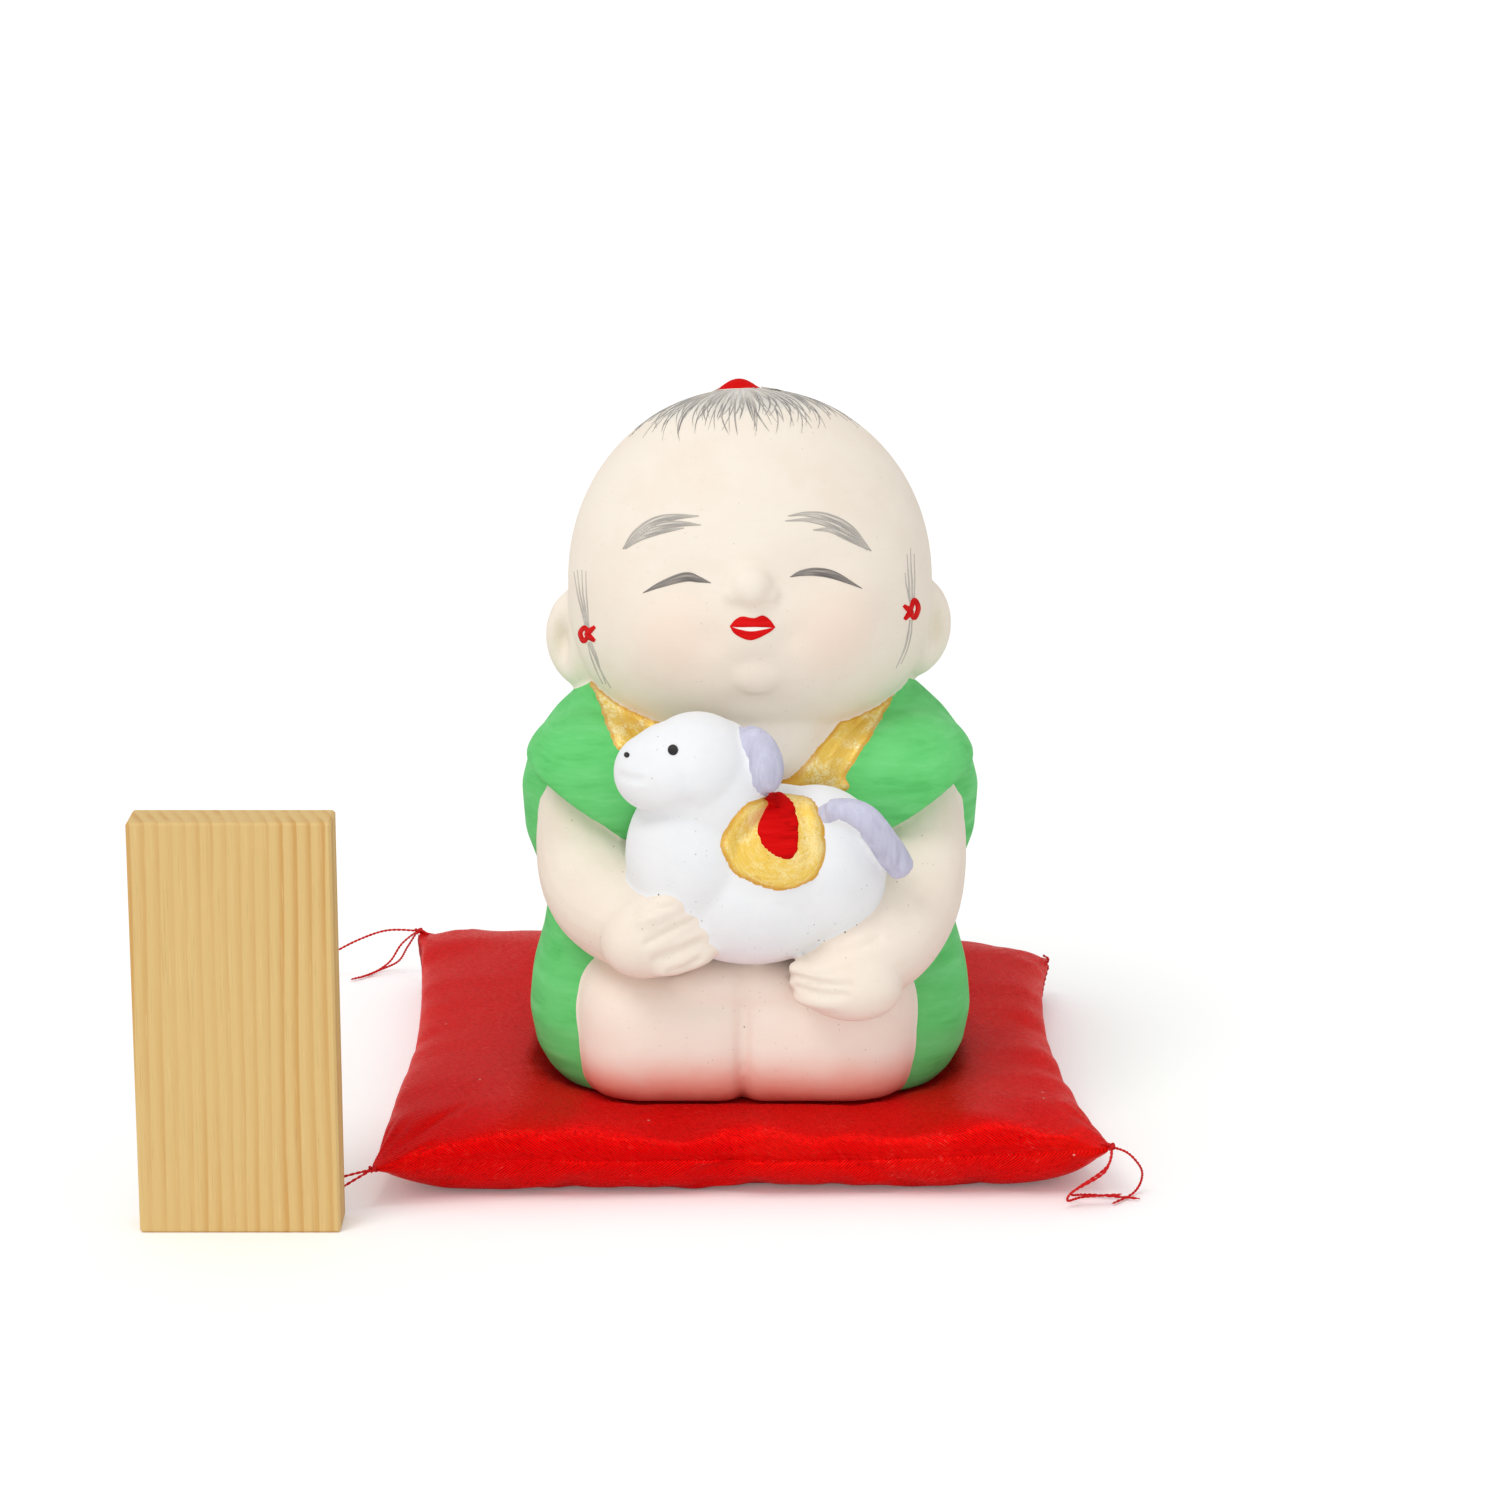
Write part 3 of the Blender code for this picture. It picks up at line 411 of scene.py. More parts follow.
@dataclass(frozen=True)
class ClayFinish:
    """Matt clay under a thin wash, with brush marks, fine grit and dark specks along painted borders."""

    name: str
    colour: Colour
    shade: Colour
    specks: float = 0.5
    blush: Colour | None = None
    blush_span: tuple[float, float] = (FOOT_Z + 0.0019, FOOT_Z + 0.0099)
    low_blush_span: tuple[float, float] = (FOOT_Z + 0.0014, FOOT_Z + 0.0038)
    dabs: tuple[tuple[Vector, Colour, float], ...] = ()
    low_blush: Colour = linear(198, 76, 64)
    speck: Colour = linear(96, 84, 72)
    everywhere: float = 0.40

    def dress(self) -> Material:
        """Make the material."""
        sheet = NodeSheet(self.name)
        plain = sheet.place()
        cloud = sheet.noise(plain, 130, 4, 0.6)
        colour = sheet.mix(sheet.spread(cloud, 0.35, 0.75, 0, 0.8), self.colour, self.shade)
        brush = sheet.noise(sheet.place((260, 260, 1500), (0.2, 0.3, 0)), 1, 3)
        colour = sheet.mix(sheet.spread(brush, 0.55, 0.8, 0, 0.35), colour, self.shade)
        if self.blush:
            height = sheet.add("SeparateXYZ", {0: plain}).outputs[2]
            height = sheet.sum("ADD", height, sheet.product(sheet.noise(plain, 170, 3), 0.0030))
            colour = sheet.mix(sheet.spread(height, *self.blush_span, 1, 0), colour, self.blush)
            colour = sheet.mix(sheet.spread(height, *self.low_blush_span, 0.65, 0), colour, self.low_blush)
        # Each dab tints a round place, such as pink cheeks and a painted highlight under the chin.
        for middle, dab, reach in self.dabs:
            away = sheet.add("VectorMath", {0: plain, 1: tuple(middle)}, operation="DISTANCE").outputs["Value"]
            colour = sheet.mix(sheet.spread(away, 0.1 * reach, reach, 0.75, 0), colour, dab)
        dots = sheet.dots(plain, 1500.0, (0.10, 0.24), (0.80, 0.86))
        patch = sheet.spread(sheet.noise(plain, 210, 3), 0.42, 0.66, 0.08, 1)
        near = sheet.sum("ADD", sheet.value("rim"), self.everywhere)
        share = sheet.product(dots, sheet.product(patch, near))
        colour = sheet.mix(sheet.product(share, self.specks), colour, self.speck)
        grit = sheet.relief(sheet.noise(plain, 5200, 2), 0.000012)
        lumps = sheet.relief(sheet.noise(plain, 700, 3), 0.000022, 1, grit)
        strokes = sheet.relief(brush, 0.000018, 1, lumps)
        rough = sheet.spread(brush, 0.3, 0.7, 0.80, 0.95)
        return sheet.shade(Base_Color=colour, Roughness=rough, Specular_IOR_Level=0.18, Normal=strokes)


@dataclass(frozen=True)
class PaintFinish:
    """Opaque paint with visible brush streaks."""

    name: str
    colour: Colour
    light: Colour
    dark: Colour
    streak: Place = (240, 240, 1700)
    turn: Place = (0, 0.35, 0)
    roughness: float = 0.72
    specular: float = 0.3
    streak_depth: float = 0.00003
    specks: float = 0.3
    speck: Colour = linear(60, 90, 50)

    def dress(self) -> Material:
        """Make the material."""
        sheet = NodeSheet(self.name)
        plain = sheet.place()
        streak = sheet.noise(sheet.place(self.streak, self.turn), 1, 4, 0.6, 0.2)
        cloud = sheet.noise(plain, 160, 3)
        colour = sheet.mix(sheet.spread(streak, 0.48, 0.72), self.colour, self.light)
        colour = sheet.mix(sheet.spread(streak, 0.50, 0.28), colour, self.dark)
        colour = sheet.mix(sheet.spread(cloud, 0.40, 0.70, 0, 0.5), colour, self.light)
        share = sheet.product(sheet.dots(plain, 1500.0, (0.10, 0.22), (0.85, 0.9)), sheet.value("rim"))
        colour = sheet.mix(sheet.product(share, self.specks), colour, self.speck)
        grit = sheet.relief(sheet.noise(plain, 4200, 2), 0.000010)
        strokes = sheet.relief(streak, self.streak_depth, 1, grit)
        rough = sheet.spread(streak, 0.3, 0.7, self.roughness + 0.08, self.roughness - 0.08)
        return sheet.shade(Base_Color=colour, Roughness=rough, Specular_IOR_Level=self.specular, Normal=strokes)


@dataclass(frozen=True)
class GoldFinish:
    """Gold paint brushed along the piece's own UV map, with painted highlights: bright patches and grains of its light
    colour.
    """

    name: str
    colour: Colour = linear(238, 199, 84)
    light: Colour = linear(253, 243, 196)
    dark: Colour = linear(212, 148, 36)
    streak: Place = (260, 2600, 1)
    # How strongly the painted highlights show.
    bright: float = 0.85
    metallic: float = 0.35

    def dress(self) -> Material:
        """Make the material."""
        sheet = NodeSheet(self.name)
        plain = sheet.place()
        streak = sheet.noise(sheet.place(self.streak, uv=True), 1, 4, 0.65, 0.5)
        cloud = sheet.noise(plain, 240, 5, 0.65)
        colour = sheet.mix(sheet.spread(streak, 0.52, 0.80, 0, 0.6), self.colour, self.light)
        colour = sheet.mix(sheet.spread(streak, 0.50, 0.25, 0, 0.6), colour, self.dark)
        # Painted glints and highlights: random grains and patches of the light colour, summed in the share named
        # thick, stand in for light caught by the gold.
        glint_cells = sheet.add("TexVoronoi", {"Vector": plain, "Scale": 6000.0, "Randomness": 1.0})
        glint = sheet.add("SeparateColor", {0: glint_cells.outputs["Color"]}).outputs[0]
        thick = sheet.sum("ADD", sheet.spread(cloud, 0.38, 0.68), sheet.spread(glint, 0.0, 1.0, -0.30, 0.30))
        colour = sheet.mix(sheet.spread(thick, 0.15, 1.1, 0, self.bright), colour, self.light)
        colour = sheet.mix(sheet.spread(sheet.value("rim"), 0.84, 0.98, 0, 0.7), colour, self.dark)
        strokes = sheet.relief(streak, 0.00006)
        flaky = sheet.relief(glint, 0.000020, 1, strokes)
        rough = sheet.spread(cloud, 0.3, 0.7, 0.52, 0.34)
        return sheet.shade(Base_Color=colour, Metallic=self.metallic, Roughness=rough, Normal=flaky)


@dataclass(frozen=True)
class InkFinish:
    """Grey ink from a nearly dry brush: streaks along the stroke that let the clay show through."""

    name: str
    ink: Colour = linear(118, 112, 108)
    ground: Colour = linear(243, 234, 220)
    least: float = 0.35
    most: float = 1.0
    streak: Place = (5, 14, 1)

    def dress(self) -> Material:
        """Make the material."""
        sheet = NodeSheet(self.name)
        streak = sheet.noise(sheet.place(self.streak, uv=True), 1, 3, 0.6, 0.1)
        share = sheet.spread(streak, 0.30, 0.62, self.least, self.most)
        colour = sheet.mix(sheet.product(share, sheet.value("load")), self.ground, self.ink)
        return sheet.shade(Base_Color=colour, Roughness=0.85, Specular_IOR_Level=0.15)


@dataclass(frozen=True)
class SatinFinish:
    """Red satin twill: fine diagonal ribs on the piece's own UV map in metres with painted shade in their valleys,
    slubs partly painted as sheen, lint and a soft lustre.
    """

    name: str = "satin_red_twill"
    colour: Colour = linear(240, 3, 6)
    light: Colour = linear(255, 44, 28)
    dark: Colour = linear(146, 0, 2)
    lint: Colour = linear(226, 120, 108)
    fluff: Colour = linear(240, 180, 170)
    rib: float = 0.00030

    def dress(self) -> Material:
        """Make the material."""
        sheet = NodeSheet(self.name)
        turned = sheet.place((1, 1, 1), (0, 0, math.radians(-52)), uv=True)
        ribs = sheet.add(
            "TexWave",
            {"Vector": turned, "Scale": math.tau / 20 / self.rib, "Distortion": 0.6, "Detail": 1.0},
            wave_type="BANDS",
            bands_direction="X",
        ).outputs["Fac"]
        slub = sheet.noise(sheet.add("Mapping", {"Vector": turned, "Scale": (5200, 900, 1)}).outputs[0], 1, 3, 0.6)
        warp = sheet.noise(sheet.place((240, 2600, 1), uv=True), 1, 2)
        plain = sheet.place()
        cloud = sheet.noise(plain, 55, 3)
        worn = sheet.noise(plain, 150, 4, 0.7)
        # The lighter slubs and clouds are partly yarn tone and partly painted sheen: the haze and glints of light on
        # the satin. The darker rib valleys are painted shade.
        colour = sheet.mix(sheet.spread(slub, 0.52, 0.76, 0, 0.75), self.colour, self.light)
        colour = sheet.mix(sheet.spread(slub, 0.48, 0.28, 0, 0.75), colour, self.dark)
        colour = sheet.mix(sheet.spread(ribs, 0.50, 0.0, 0, 0.65), colour, self.dark)
        colour = sheet.mix(sheet.spread(cloud, 0.45, 0.75, 0, 0.20), colour, self.light)
        lint = sheet.product(sheet.spread(worn, 0.52, 0.70), sheet.spread(slub, 0.55, 0.70, 0, 0.40))
        colour = sheet.mix(lint, colour, self.lint)
        colour = sheet.mix(sheet.dots(plain, 320.0, (0.035, 0.06), (0.86, 0.88)), colour, self.fluff)
        weave = sheet.relief(ribs, 0.00006, 0.9)
        weave = sheet.relief(slub, 0.00007, 1.0, weave)
        weave = sheet.relief(warp, 0.00003, 0.5, weave)
        rough = sheet.spread(slub, 0.3, 0.7, 0.38, 0.24)
        return sheet.shade(
            Base_Color=colour,
            Roughness=rough,
            Metallic=0.45,
            Specular_IOR_Level=0.12,
            Specular_Tint=(1.0, 0.30, 0.20, 1.0),
            Sheen_Weight=0.03,
            Sheen_Roughness=0.30,
            Sheen_Tint=(1.0, 0.40, 0.36, 1.0),
            Anisotropic=0.4,
            Normal=weave,
        )


@dataclass(frozen=True)
class ThreadFinish:
    """Sewing thread with fine lighter fibres."""

    name: str = "thread_red"
    colour: Colour = linear(196, 6, 12)
    light: Colour = linear(228, 44, 44)

    def dress(self) -> Material:
        """Make the material."""
        sheet = NodeSheet(self.name)
        fibre = sheet.noise(sheet.place((6000, 6000, 6000)), 1, 3)
        colour = sheet.mix(sheet.spread(fibre, 0.35, 0.7, 0, 0.6), self.colour, self.light)
        strokes = sheet.relief(fibre, 0.00003)
        return sheet.shade(Base_Color=colour, Roughness=0.55, Specular_IOR_Level=0.2, Normal=strokes)


@dataclass(frozen=True)
class CedarFinish:
    """Sawn cedar: straight growth lines up the tablet, fine dark pores and pale fibres."""

    name: str = "cedar_straight_grain"
    early: Colour = linear(219, 186, 123)
    late: Colour = linear(205, 158, 90)
    pore: Colour = linear(172, 120, 66)
    fibre: Colour = linear(248, 222, 168)
    rings_per_m: float = 600.0

    def dress(self) -> Material:
        """Make the material."""
        sheet = NodeSheet(self.name)
        drift = sheet.noise(sheet.place((45, 45, 9)), 1, 3)
        x, y, _ = sheet.add("SeparateXYZ", {0: sheet.place()}).outputs
        across = sheet.sum("ADD", x, sheet.product(y, 0.35))
        across = sheet.sum("ADD", across, sheet.product(drift, 0.0030))
        rings = sheet.sum("FRACT", sheet.product(across, self.rings_per_m))
        late = sheet.product(sheet.spread(rings, 0.30, 0.86), sheet.spread(rings, 1.0, 0.90))
        wide = sheet.noise(sheet.place((210, 210, 12)), 1, 2)
        late = sheet.product(late, sheet.spread(wide, 0.3, 0.7, 0.25, 1.0))
        colour = sheet.mix(late, self.early, self.late)
        fibre = sheet.noise(sheet.place((5200, 5200, 130)), 1, 4, 0.6)
        colour = sheet.mix(sheet.spread(fibre, 0.55, 0.80, 0, 0.4), colour, self.pore)
        colour = sheet.mix(sheet.spread(fibre, 0.42, 0.25, 0, 0.3), colour, self.fibre)
        strokes = sheet.relief(fibre, 0.00003)
        strokes = sheet.relief(late, 0.000004, 1, strokes)
        return sheet.shade(Base_Color=colour, Roughness=0.68, Specular_IOR_Level=0.3, Normal=strokes)


@dataclass(frozen=True)
class Ball:
    """A rounded ball with three radii; a power above 2 squares it up."""

    radii: Place
    middle: Place
    power: float = 2.0
    turn: Place = (0, 0, 0)

    def add_to(self, shape: Shape, segments: int = 48, rings: int = 32) -> list[bmesh.types.BMVert]:
        """Add the ball to a shape and return its vertices."""
        made = bmesh.ops.create_uvsphere(shape, u_segments=segments, v_segments=rings, radius=1)["verts"]
        for vertex in made:
            reach = sum(abs(value) ** self.power for value in vertex.co) ** (-1 / self.power)
            vertex.co = Vector(value * reach * radius for value, radius in zip(vertex.co, self.radii))
        bmesh.ops.rotate(shape, verts=made, cent=(0, 0, 0), matrix=Euler(self.turn).to_matrix())
        bmesh.ops.translate(shape, verts=made, vec=self.middle)
        return made


def add_tube(
    shape: Shape, line: Sequence[Vector], radius: float, shares: Sequence[float],
    steps: int = 6, roundness: int = 8,
) -> None:
    """Add a round bar along a smooth line to a shape.

    Args:
        shape: the shape that takes it.
        line: the points of its middle line.
        radius: its radius.
        shares: its thickness at each point as a share of the radius.
        steps: how many rings it has between two points.
        roundness: how finely it is rounded.
    """
    curve = bpy.data.curves.new("bar", "CURVE")
    curve.dimensions = "3D"
    curve.bevel_depth = radius
    curve.bevel_resolution = roundness
    curve.resolution_u = steps
    curve.use_fill_caps = True
    spline = curve.splines.new("NURBS")
    spline.points.add(len(line) - 1)
    for point, where, share in zip(spline.points, line, shares):
        point.co = (*where, 1)
        point.radius = share
    spline.order_u = 4
    spline.use_endpoint_u = True
    bar = bpy.data.objects.new("bar", curve)
    bpy.context.scene.collection.objects.link(bar)
    bpy.context.view_layer.update()
    mesh = bpy.data.meshes.new_from_object(bar.evaluated_get(bpy.context.evaluated_depsgraph_get()))
    before = len(shape.verts)
    shape.from_mesh(mesh)
    shape.verts.ensure_lookup_table()
    bmesh.ops.remove_doubles(shape, verts=shape.verts[before:], dist=WELD)
    bpy.data.objects.remove(bar)
    bpy.data.curves.remove(curve)
    bpy.data.meshes.remove(mesh)


@dataclass(frozen=True)
class Bar:
    """A round bar along a line measured from the foot, with its thickness at each point as a share of the radius."""

    line: tuple[Place, ...]
    radius: float
    shares: tuple[float, ...]

    @property
    def places(self) -> list[Vector]:
        """The line's points in the part's frame."""
        return [from_foot(*point) for point in self.line]

    def add_to(self, shape: Shape) -> None:
        """Add the bar to a shape."""
        add_tube(shape, self.places, self.radius, self.shares)


@dataclass(frozen=True)
class Swelling:
    """A soft rise or hollow of the face: its place from the head's middle, its reach and its height."""

    across: float
    up: float
    reach: float
    rise: float
    stretch: float = 1.0

    def height(self, x: float, z: float) -> float:
        """How far it stands out at a place."""
        distance = math.hypot((x - self.across) / self.stretch, z - self.up)
        return self.rise * math.exp(-((distance / self.reach) ** 2))


@dataclass(frozen=True)
class HeadForm:
    """The head casting: skull with its face, ears and neck."""

    half_width: float = 0.0235
    front: float = 0.0205
    back: float = 0.0215
    rise: float = 0.0247
    drop: float = 0.0206
    neck_drop: float = 0.0172
    middle: Vector = HEAD_MIDDLE
    neck_radii: Place = (0.0125, 0.0160, 0.0105)
    skull_power: float = 2.06
    jaw_power: float = 2.5
    neck_power: float = 2.75
    face: tuple[Swelling, ...] = (
        Swelling(0.0003, 0.0052, 0.0024, 0.0006),
        Swelling(0.0002, -0.0025, 0.0036, 0.0012),
        Swelling(-0.0120, -0.0036, 0.0078, 0.0016),
        Swelling(0.0124, -0.0032, 0.0078, 0.0016),
        Swelling(-0.0088, 0.0046, 0.0044, -0.0007),
        Swelling(0.0094, 0.0049, 0.0044, -0.0007),
        Swelling(0.0008, -0.0118, 0.0016, -0.0005, 2.6),
        Swelling(-0.0046, -0.0030, 0.0020, -0.0005),
        Swelling(0.0052, -0.0030, 0.0020, -0.0005),
    )
    face_balls: tuple[Ball, ...] = (
        Ball((0.0027, 0.0027, 0.0026), (0.0002, -0.0204, 0.0034)),
        Ball((0.0013, 0.0013, 0.0012), (-0.0020, -0.0205, 0.0024)),
        Ball((0.0013, 0.0013, 0.0012), (0.0024, -0.0205, 0.0024)),
        Ball((0.0037, 0.0022, 0.0033), (0.0008, -0.0187, -0.0075)),
    )
    ear_radii: Place = (0.0057, 0.0035, 0.0069)
    ear_turn: float = math.radians(24)
    ear_places: tuple[Place, Place] = ((-0.0212, 0.0012, -0.0079), (0.0208, 0.0012, -0.0063))
    ear_cup: Ball = Ball((0.0011, 0.0024, 0.0028), (0.0024, 0, -0.0004))

    def build(self) -> Shape:
        """The whole form, with overlapping parts."""
        shape = bmesh.new()
        made = bmesh.ops.create_uvsphere(shape, u_segments=160, v_segments=110, radius=1)["verts"]
        for vertex in made:
            across, along, up = vertex.co
            power = self.skull_power if up > 0 else self.jaw_power
            reach = (math.hypot(across, along) ** power + abs(up) ** power) ** (-1 / power)
            x = across * reach * self.half_width
            y = along * reach * (self.front if along < 0 else self.back)
            z = up * reach * (self.rise if up > 0 else self.drop)
            if along < 0:
                y -= sum(swelling.height(x, z) for swelling in self.face) * min(1, -3 * along)
            vertex.co = Vector((x, y, z)) + self.middle
        neck = self.middle - Vector((0, 0, self.neck_drop))
        Ball(self.neck_radii, neck, self.neck_power).add_to(shape)
        for ball in self.face_balls:
            Ball(ball.radii, self.middle + Vector(ball.middle), ball.power).add_to(shape, 32, 22)
        for side, place in zip((-1, 1), self.ear_places):
            made = Ball(self.ear_radii, (0, 0, 0)).add_to(shape, 120, 80)
            wide, deep, high = self.ear_cup.radii
            for vertex in made:
                if vertex.co.y < 0:
                    across = (vertex.co.x * side - self.ear_cup.middle[0]) / wide
                    off = math.hypot(across, (vertex.co.z - self.ear_cup.middle[2]) / high)
                    vertex.co.y += deep * math.exp(-(off**2))
            turn = Euler((0, 0, side * self.ear_turn)).to_matrix()
            bmesh.ops.rotate(shape, verts=made, cent=(0, 0, 0), matrix=turn)
            bmesh.ops.translate(shape, verts=made, vec=self.middle + Vector(place))
        return shape


@dataclass(frozen=True)
class TieForm:
    """The pinched red tie on the crown."""

    radii: Place = (0.0033, 0.0033, 0.0024)
    middle: Vector = from_foot(-0.0014, 0.0025, 0.0871)
    power: float = 1.5

    def build(self) -> Shape:
        """The whole form."""
        shape = bmesh.new()
        Ball(self.radii, self.middle, self.power).add_to(shape)
        return shape


@dataclass(frozen=True)
class RobeForm:
    """The robe casting with its short sleeves."""

    height: float = 0.0525
    half_width: float = 0.0300
    front: float = 0.0165
    back: float = 0.0255
    power: float = 2.3
    knee_power: float = 4
    knee_shares: tuple[float, float] = (0.24, 0.48)
    rows: tuple[tuple[float, float, float, float], ...] = (
        (0.00, 0.830, 1.25, 0.890),
        (0.03, 0.885, 1.28, 0.930),
        (0.08, 0.935, 1.29, 0.970),
        (0.16, 0.963, 1.26, 1.000),
        (0.24, 0.950, 1.16, 0.985),
        (0.33, 0.905, 1.00, 0.935),
        (0.40, 0.885, 0.90, 0.880),
        (0.48, 0.915, 0.84, 0.830),
        (0.58, 0.980, 0.84, 0.790),
        (0.70, 0.995, 0.90, 0.755),
        (0.80, 0.950, 0.95, 0.710),
        (0.88, 0.850, 0.88, 0.640),
        (0.94, 0.740, 0.74, 0.560),
        (1.00, 0.600, 0.55, 0.450),
    )
    sleeve_radii: Place = (0.0112, 0.0118, 0.0090)
    sleeve_middle: Place = (0.0182, -0.0068, 0.0392)
    hem_place: Place = (0.0274, 0, 0.0411)
    hem_tilt: float = math.radians(34.4)
    segments: int = 120
    cuts: int = 60

    def build(self) -> Shape:
        """The whole form, with overlapping parts."""
        shape = bmesh.new()
        made = bmesh.ops.create_cone(
            shape, cap_ends=True, segments=self.segments, radius1=1, radius2=1, depth=1
        )["verts"]
        bmesh.ops.translate(shape, verts=made, vec=(0, 0, 1 / 2))
        upright = [edge for edge in shape.edges if edge.verts[0].co.z != edge.verts[1].co.z]
        bmesh.ops.subdivide_edges(shape, edges=upright, cuts=self.cuts, use_grid_fill=True)
        shares, *columns = np.array(self.rows).T
        for vertex in shape.verts:
            across, along, share = vertex.co
            wide, front, back = (float(np.interp(share, shares, column)) for column in columns)
            power = float(np.interp(share, self.knee_shares, (self.knee_power, self.power)))
            power = power if along < 0 else self.power
            reach = (abs(across) ** power + abs(along) ** power) ** (-1 / power)
            depth = front * self.front if along < 0 else back * self.back
            vertex.co = from_foot(
                across * reach * wide * self.half_width, along * reach * depth, share * self.height
            )
        for side in (-1, 1):
            sleeve = self._sleeve(side)
            pour(sleeve, shape)
            sleeve.free()
        return shape

    def _sleeve(self, side: int) -> Shape:
        """One short sleeve, cut off along its hem."""
        sleeve = bmesh.new()
        x, y, z = self.sleeve_middle
        Ball(self.sleeve_radii, from_foot(side * x, y, z), self.power).add_to(sleeve)
        x, y, z = self.hem_place
        made = bmesh.ops.bisect_plane(
            sleeve,
            geom=[*sleeve.verts, *sleeve.edges, *sleeve.faces],
            dist=WELD,
            plane_co=from_foot(side * x, y, z),
            plane_no=Vector((side * math.sin(self.hem_tilt), 0, -math.cos(self.hem_tilt))),
            clear_outer=True,
        )
        rim = [item for item in made["geom_cut"] if isinstance(item, bmesh.types.BMEdge)]
        bmesh.ops.contextual_create(sleeve, geom=rim)
        return sleeve


@dataclass(frozen=True)
class LegForm:
    """One bare leg, folded under the doll."""

    side: int
    radii: Place
    middle_y: float = -0.0105
    middle_z: float = 0.0082
    groove_x: float = -0.0010
    power: float = 2.9
    inner_power: float = 0.27
    overlap: float = 0.0015
    lap: Ball = Ball((0.0085, 0.0080, 0.0045), (0.0032, -0.0170, 0.0150), 2.3)

    def build(self) -> Shape:
        """The whole form, which crosses the other leg a little at the groove."""
        shape = bmesh.new()
        centre = from_foot(self.groove_x + self.side * self.radii[0], self.middle_y, self.middle_z)
        made = Ball(self.radii, centre, self.power).add_to(shape, 96, 64)
        for vertex in made:
            offset = vertex.co.x - centre.x
            if offset * self.side < 0:
                reach = self.radii[0] + self.overlap
                offset = -self.side * reach * abs(offset / self.radii[0]) ** self.inner_power
            vertex.co.x = centre.x + offset
            vertex.co.z = max(vertex.co.z, FOOT_Z)
        x, y, z = self.lap.middle
        Ball(self.lap.radii, from_foot(self.groove_x + self.side * x, y, z), self.lap.power).add_to(shape)
        return shape


LEGS = (LegForm(-1, (0.0108, 0.0150, 0.0108)), LegForm(1, (0.0115, 0.0150, 0.0108)))


@dataclass(frozen=True)
class ArmForm:
    """One arm with its plump hand, whose fingers lie side by side on the horse."""

    side: int
    bar: Bar
    hand: Place
    hand_turn: Place
    palm: Place = (0.0070, 0.0050, 0.0055)
    slant: float = 0
    arc: float = 0.00022
    finger: Place = (0.0045, 0.0021, 0.0017)
    finger_power: float = 2.5
    fingers: int = 4
    pitch: float = 0.0024
    spread: float = math.radians(4)
    reach: float = 0.0024
    stand: float = 0.0029

    def build(self) -> Shape:
        """The whole form, with overlapping parts."""
        shape = bmesh.new()
        self.bar.add_to(shape)
        centre = from_foot(*self.hand)
        turning = Euler(self.hand_turn).to_matrix()
        Ball(self.palm, centre, turn=self.hand_turn).add_to(shape)
        for number in range(self.fingers):
            row = number - (self.fingers - 1) / 2
            made = Ball(self.finger, (0, 0, 0), self.finger_power).add_to(shape, 24, 16)
            spread = Euler((0, self.side * row * self.spread, 0)).to_matrix()
            short = self.arc * row**2 - self.slant * row
            offset = Vector((-self.side * (self.reach - short), -self.stand, row * self.pitch))
            bmesh.ops.rotate(shape, verts=made, cent=(0, 0, 0), matrix=spread)
            bmesh.ops.translate(shape, verts=made, vec=offset)
            bmesh.ops.rotate(shape, verts=made, cent=(0, 0, 0), matrix=turning)
            bmesh.ops.translate(shape, verts=made, vec=centre)
        return shape


@dataclass(frozen=True)
class HorseForm:
    """The toy horse with its mane and tail in relief."""

    balls: tuple[Ball, ...] = (
        Ball((0.0146, 0.0090, 0.0104), from_foot(0.0024, -0.0230, 0.0316)),
        Ball((0.0089, 0.0086, 0.0105), from_foot(-0.0068, -0.0240, 0.0334)),
        Ball((0.0090, 0.0082, 0.0102), from_foot(0.0083, -0.0232, 0.0317)),
        Ball((0.0128, 0.0078, 0.0094), from_foot(0.0002, -0.0242, 0.0285)),
        Ball((0.0070, 0.0066, 0.0088), from_foot(-0.0044, -0.0256, 0.0424)),
        Ball((0.0071, 0.0066, 0.0070), from_foot(-0.0066, -0.0266, 0.0452)),
        Ball((0.0064, 0.0062, 0.0061), from_foot(-0.0094, -0.0270, 0.0450)),
        Ball((0.0052, 0.0053, 0.0050), from_foot(-0.0118, -0.0273, 0.0448)),
    )
    mane: Bar = Bar(
        ((-0.0004, -0.0264, 0.0492), (0.0008, -0.0280, 0.0486), (0.0020, -0.0291, 0.0464),
         (0.0023, -0.0293, 0.0444), (0.0021, -0.0292, 0.0430)),
        0.0023,
        (0.60, 0.95, 1.00, 0.85, 0.40),
    )
    tail: Bar = Bar(
        ((0.0098, -0.0283, 0.0398), (0.0132, -0.0288, 0.0403), (0.0155, -0.0287, 0.0377),
         (0.0175, -0.0277, 0.0345), (0.0190, -0.0265, 0.0319)),
        0.0019,
        (0.75, 0.95, 1.00, 1.00, 0.85),
    )

    def build(self) -> Shape:
        """The whole form, with overlapping parts."""
        shape = bmesh.new()
        for part in (*self.balls, self.mane, self.tail):
            part.add_to(shape)
        return shape


@dataclass(frozen=True)
class Groove:
    """A shallow line pressed into the skin, as seen in the photograph."""

    line: tuple[Pixel, ...]
    width_px: float
    depth: float


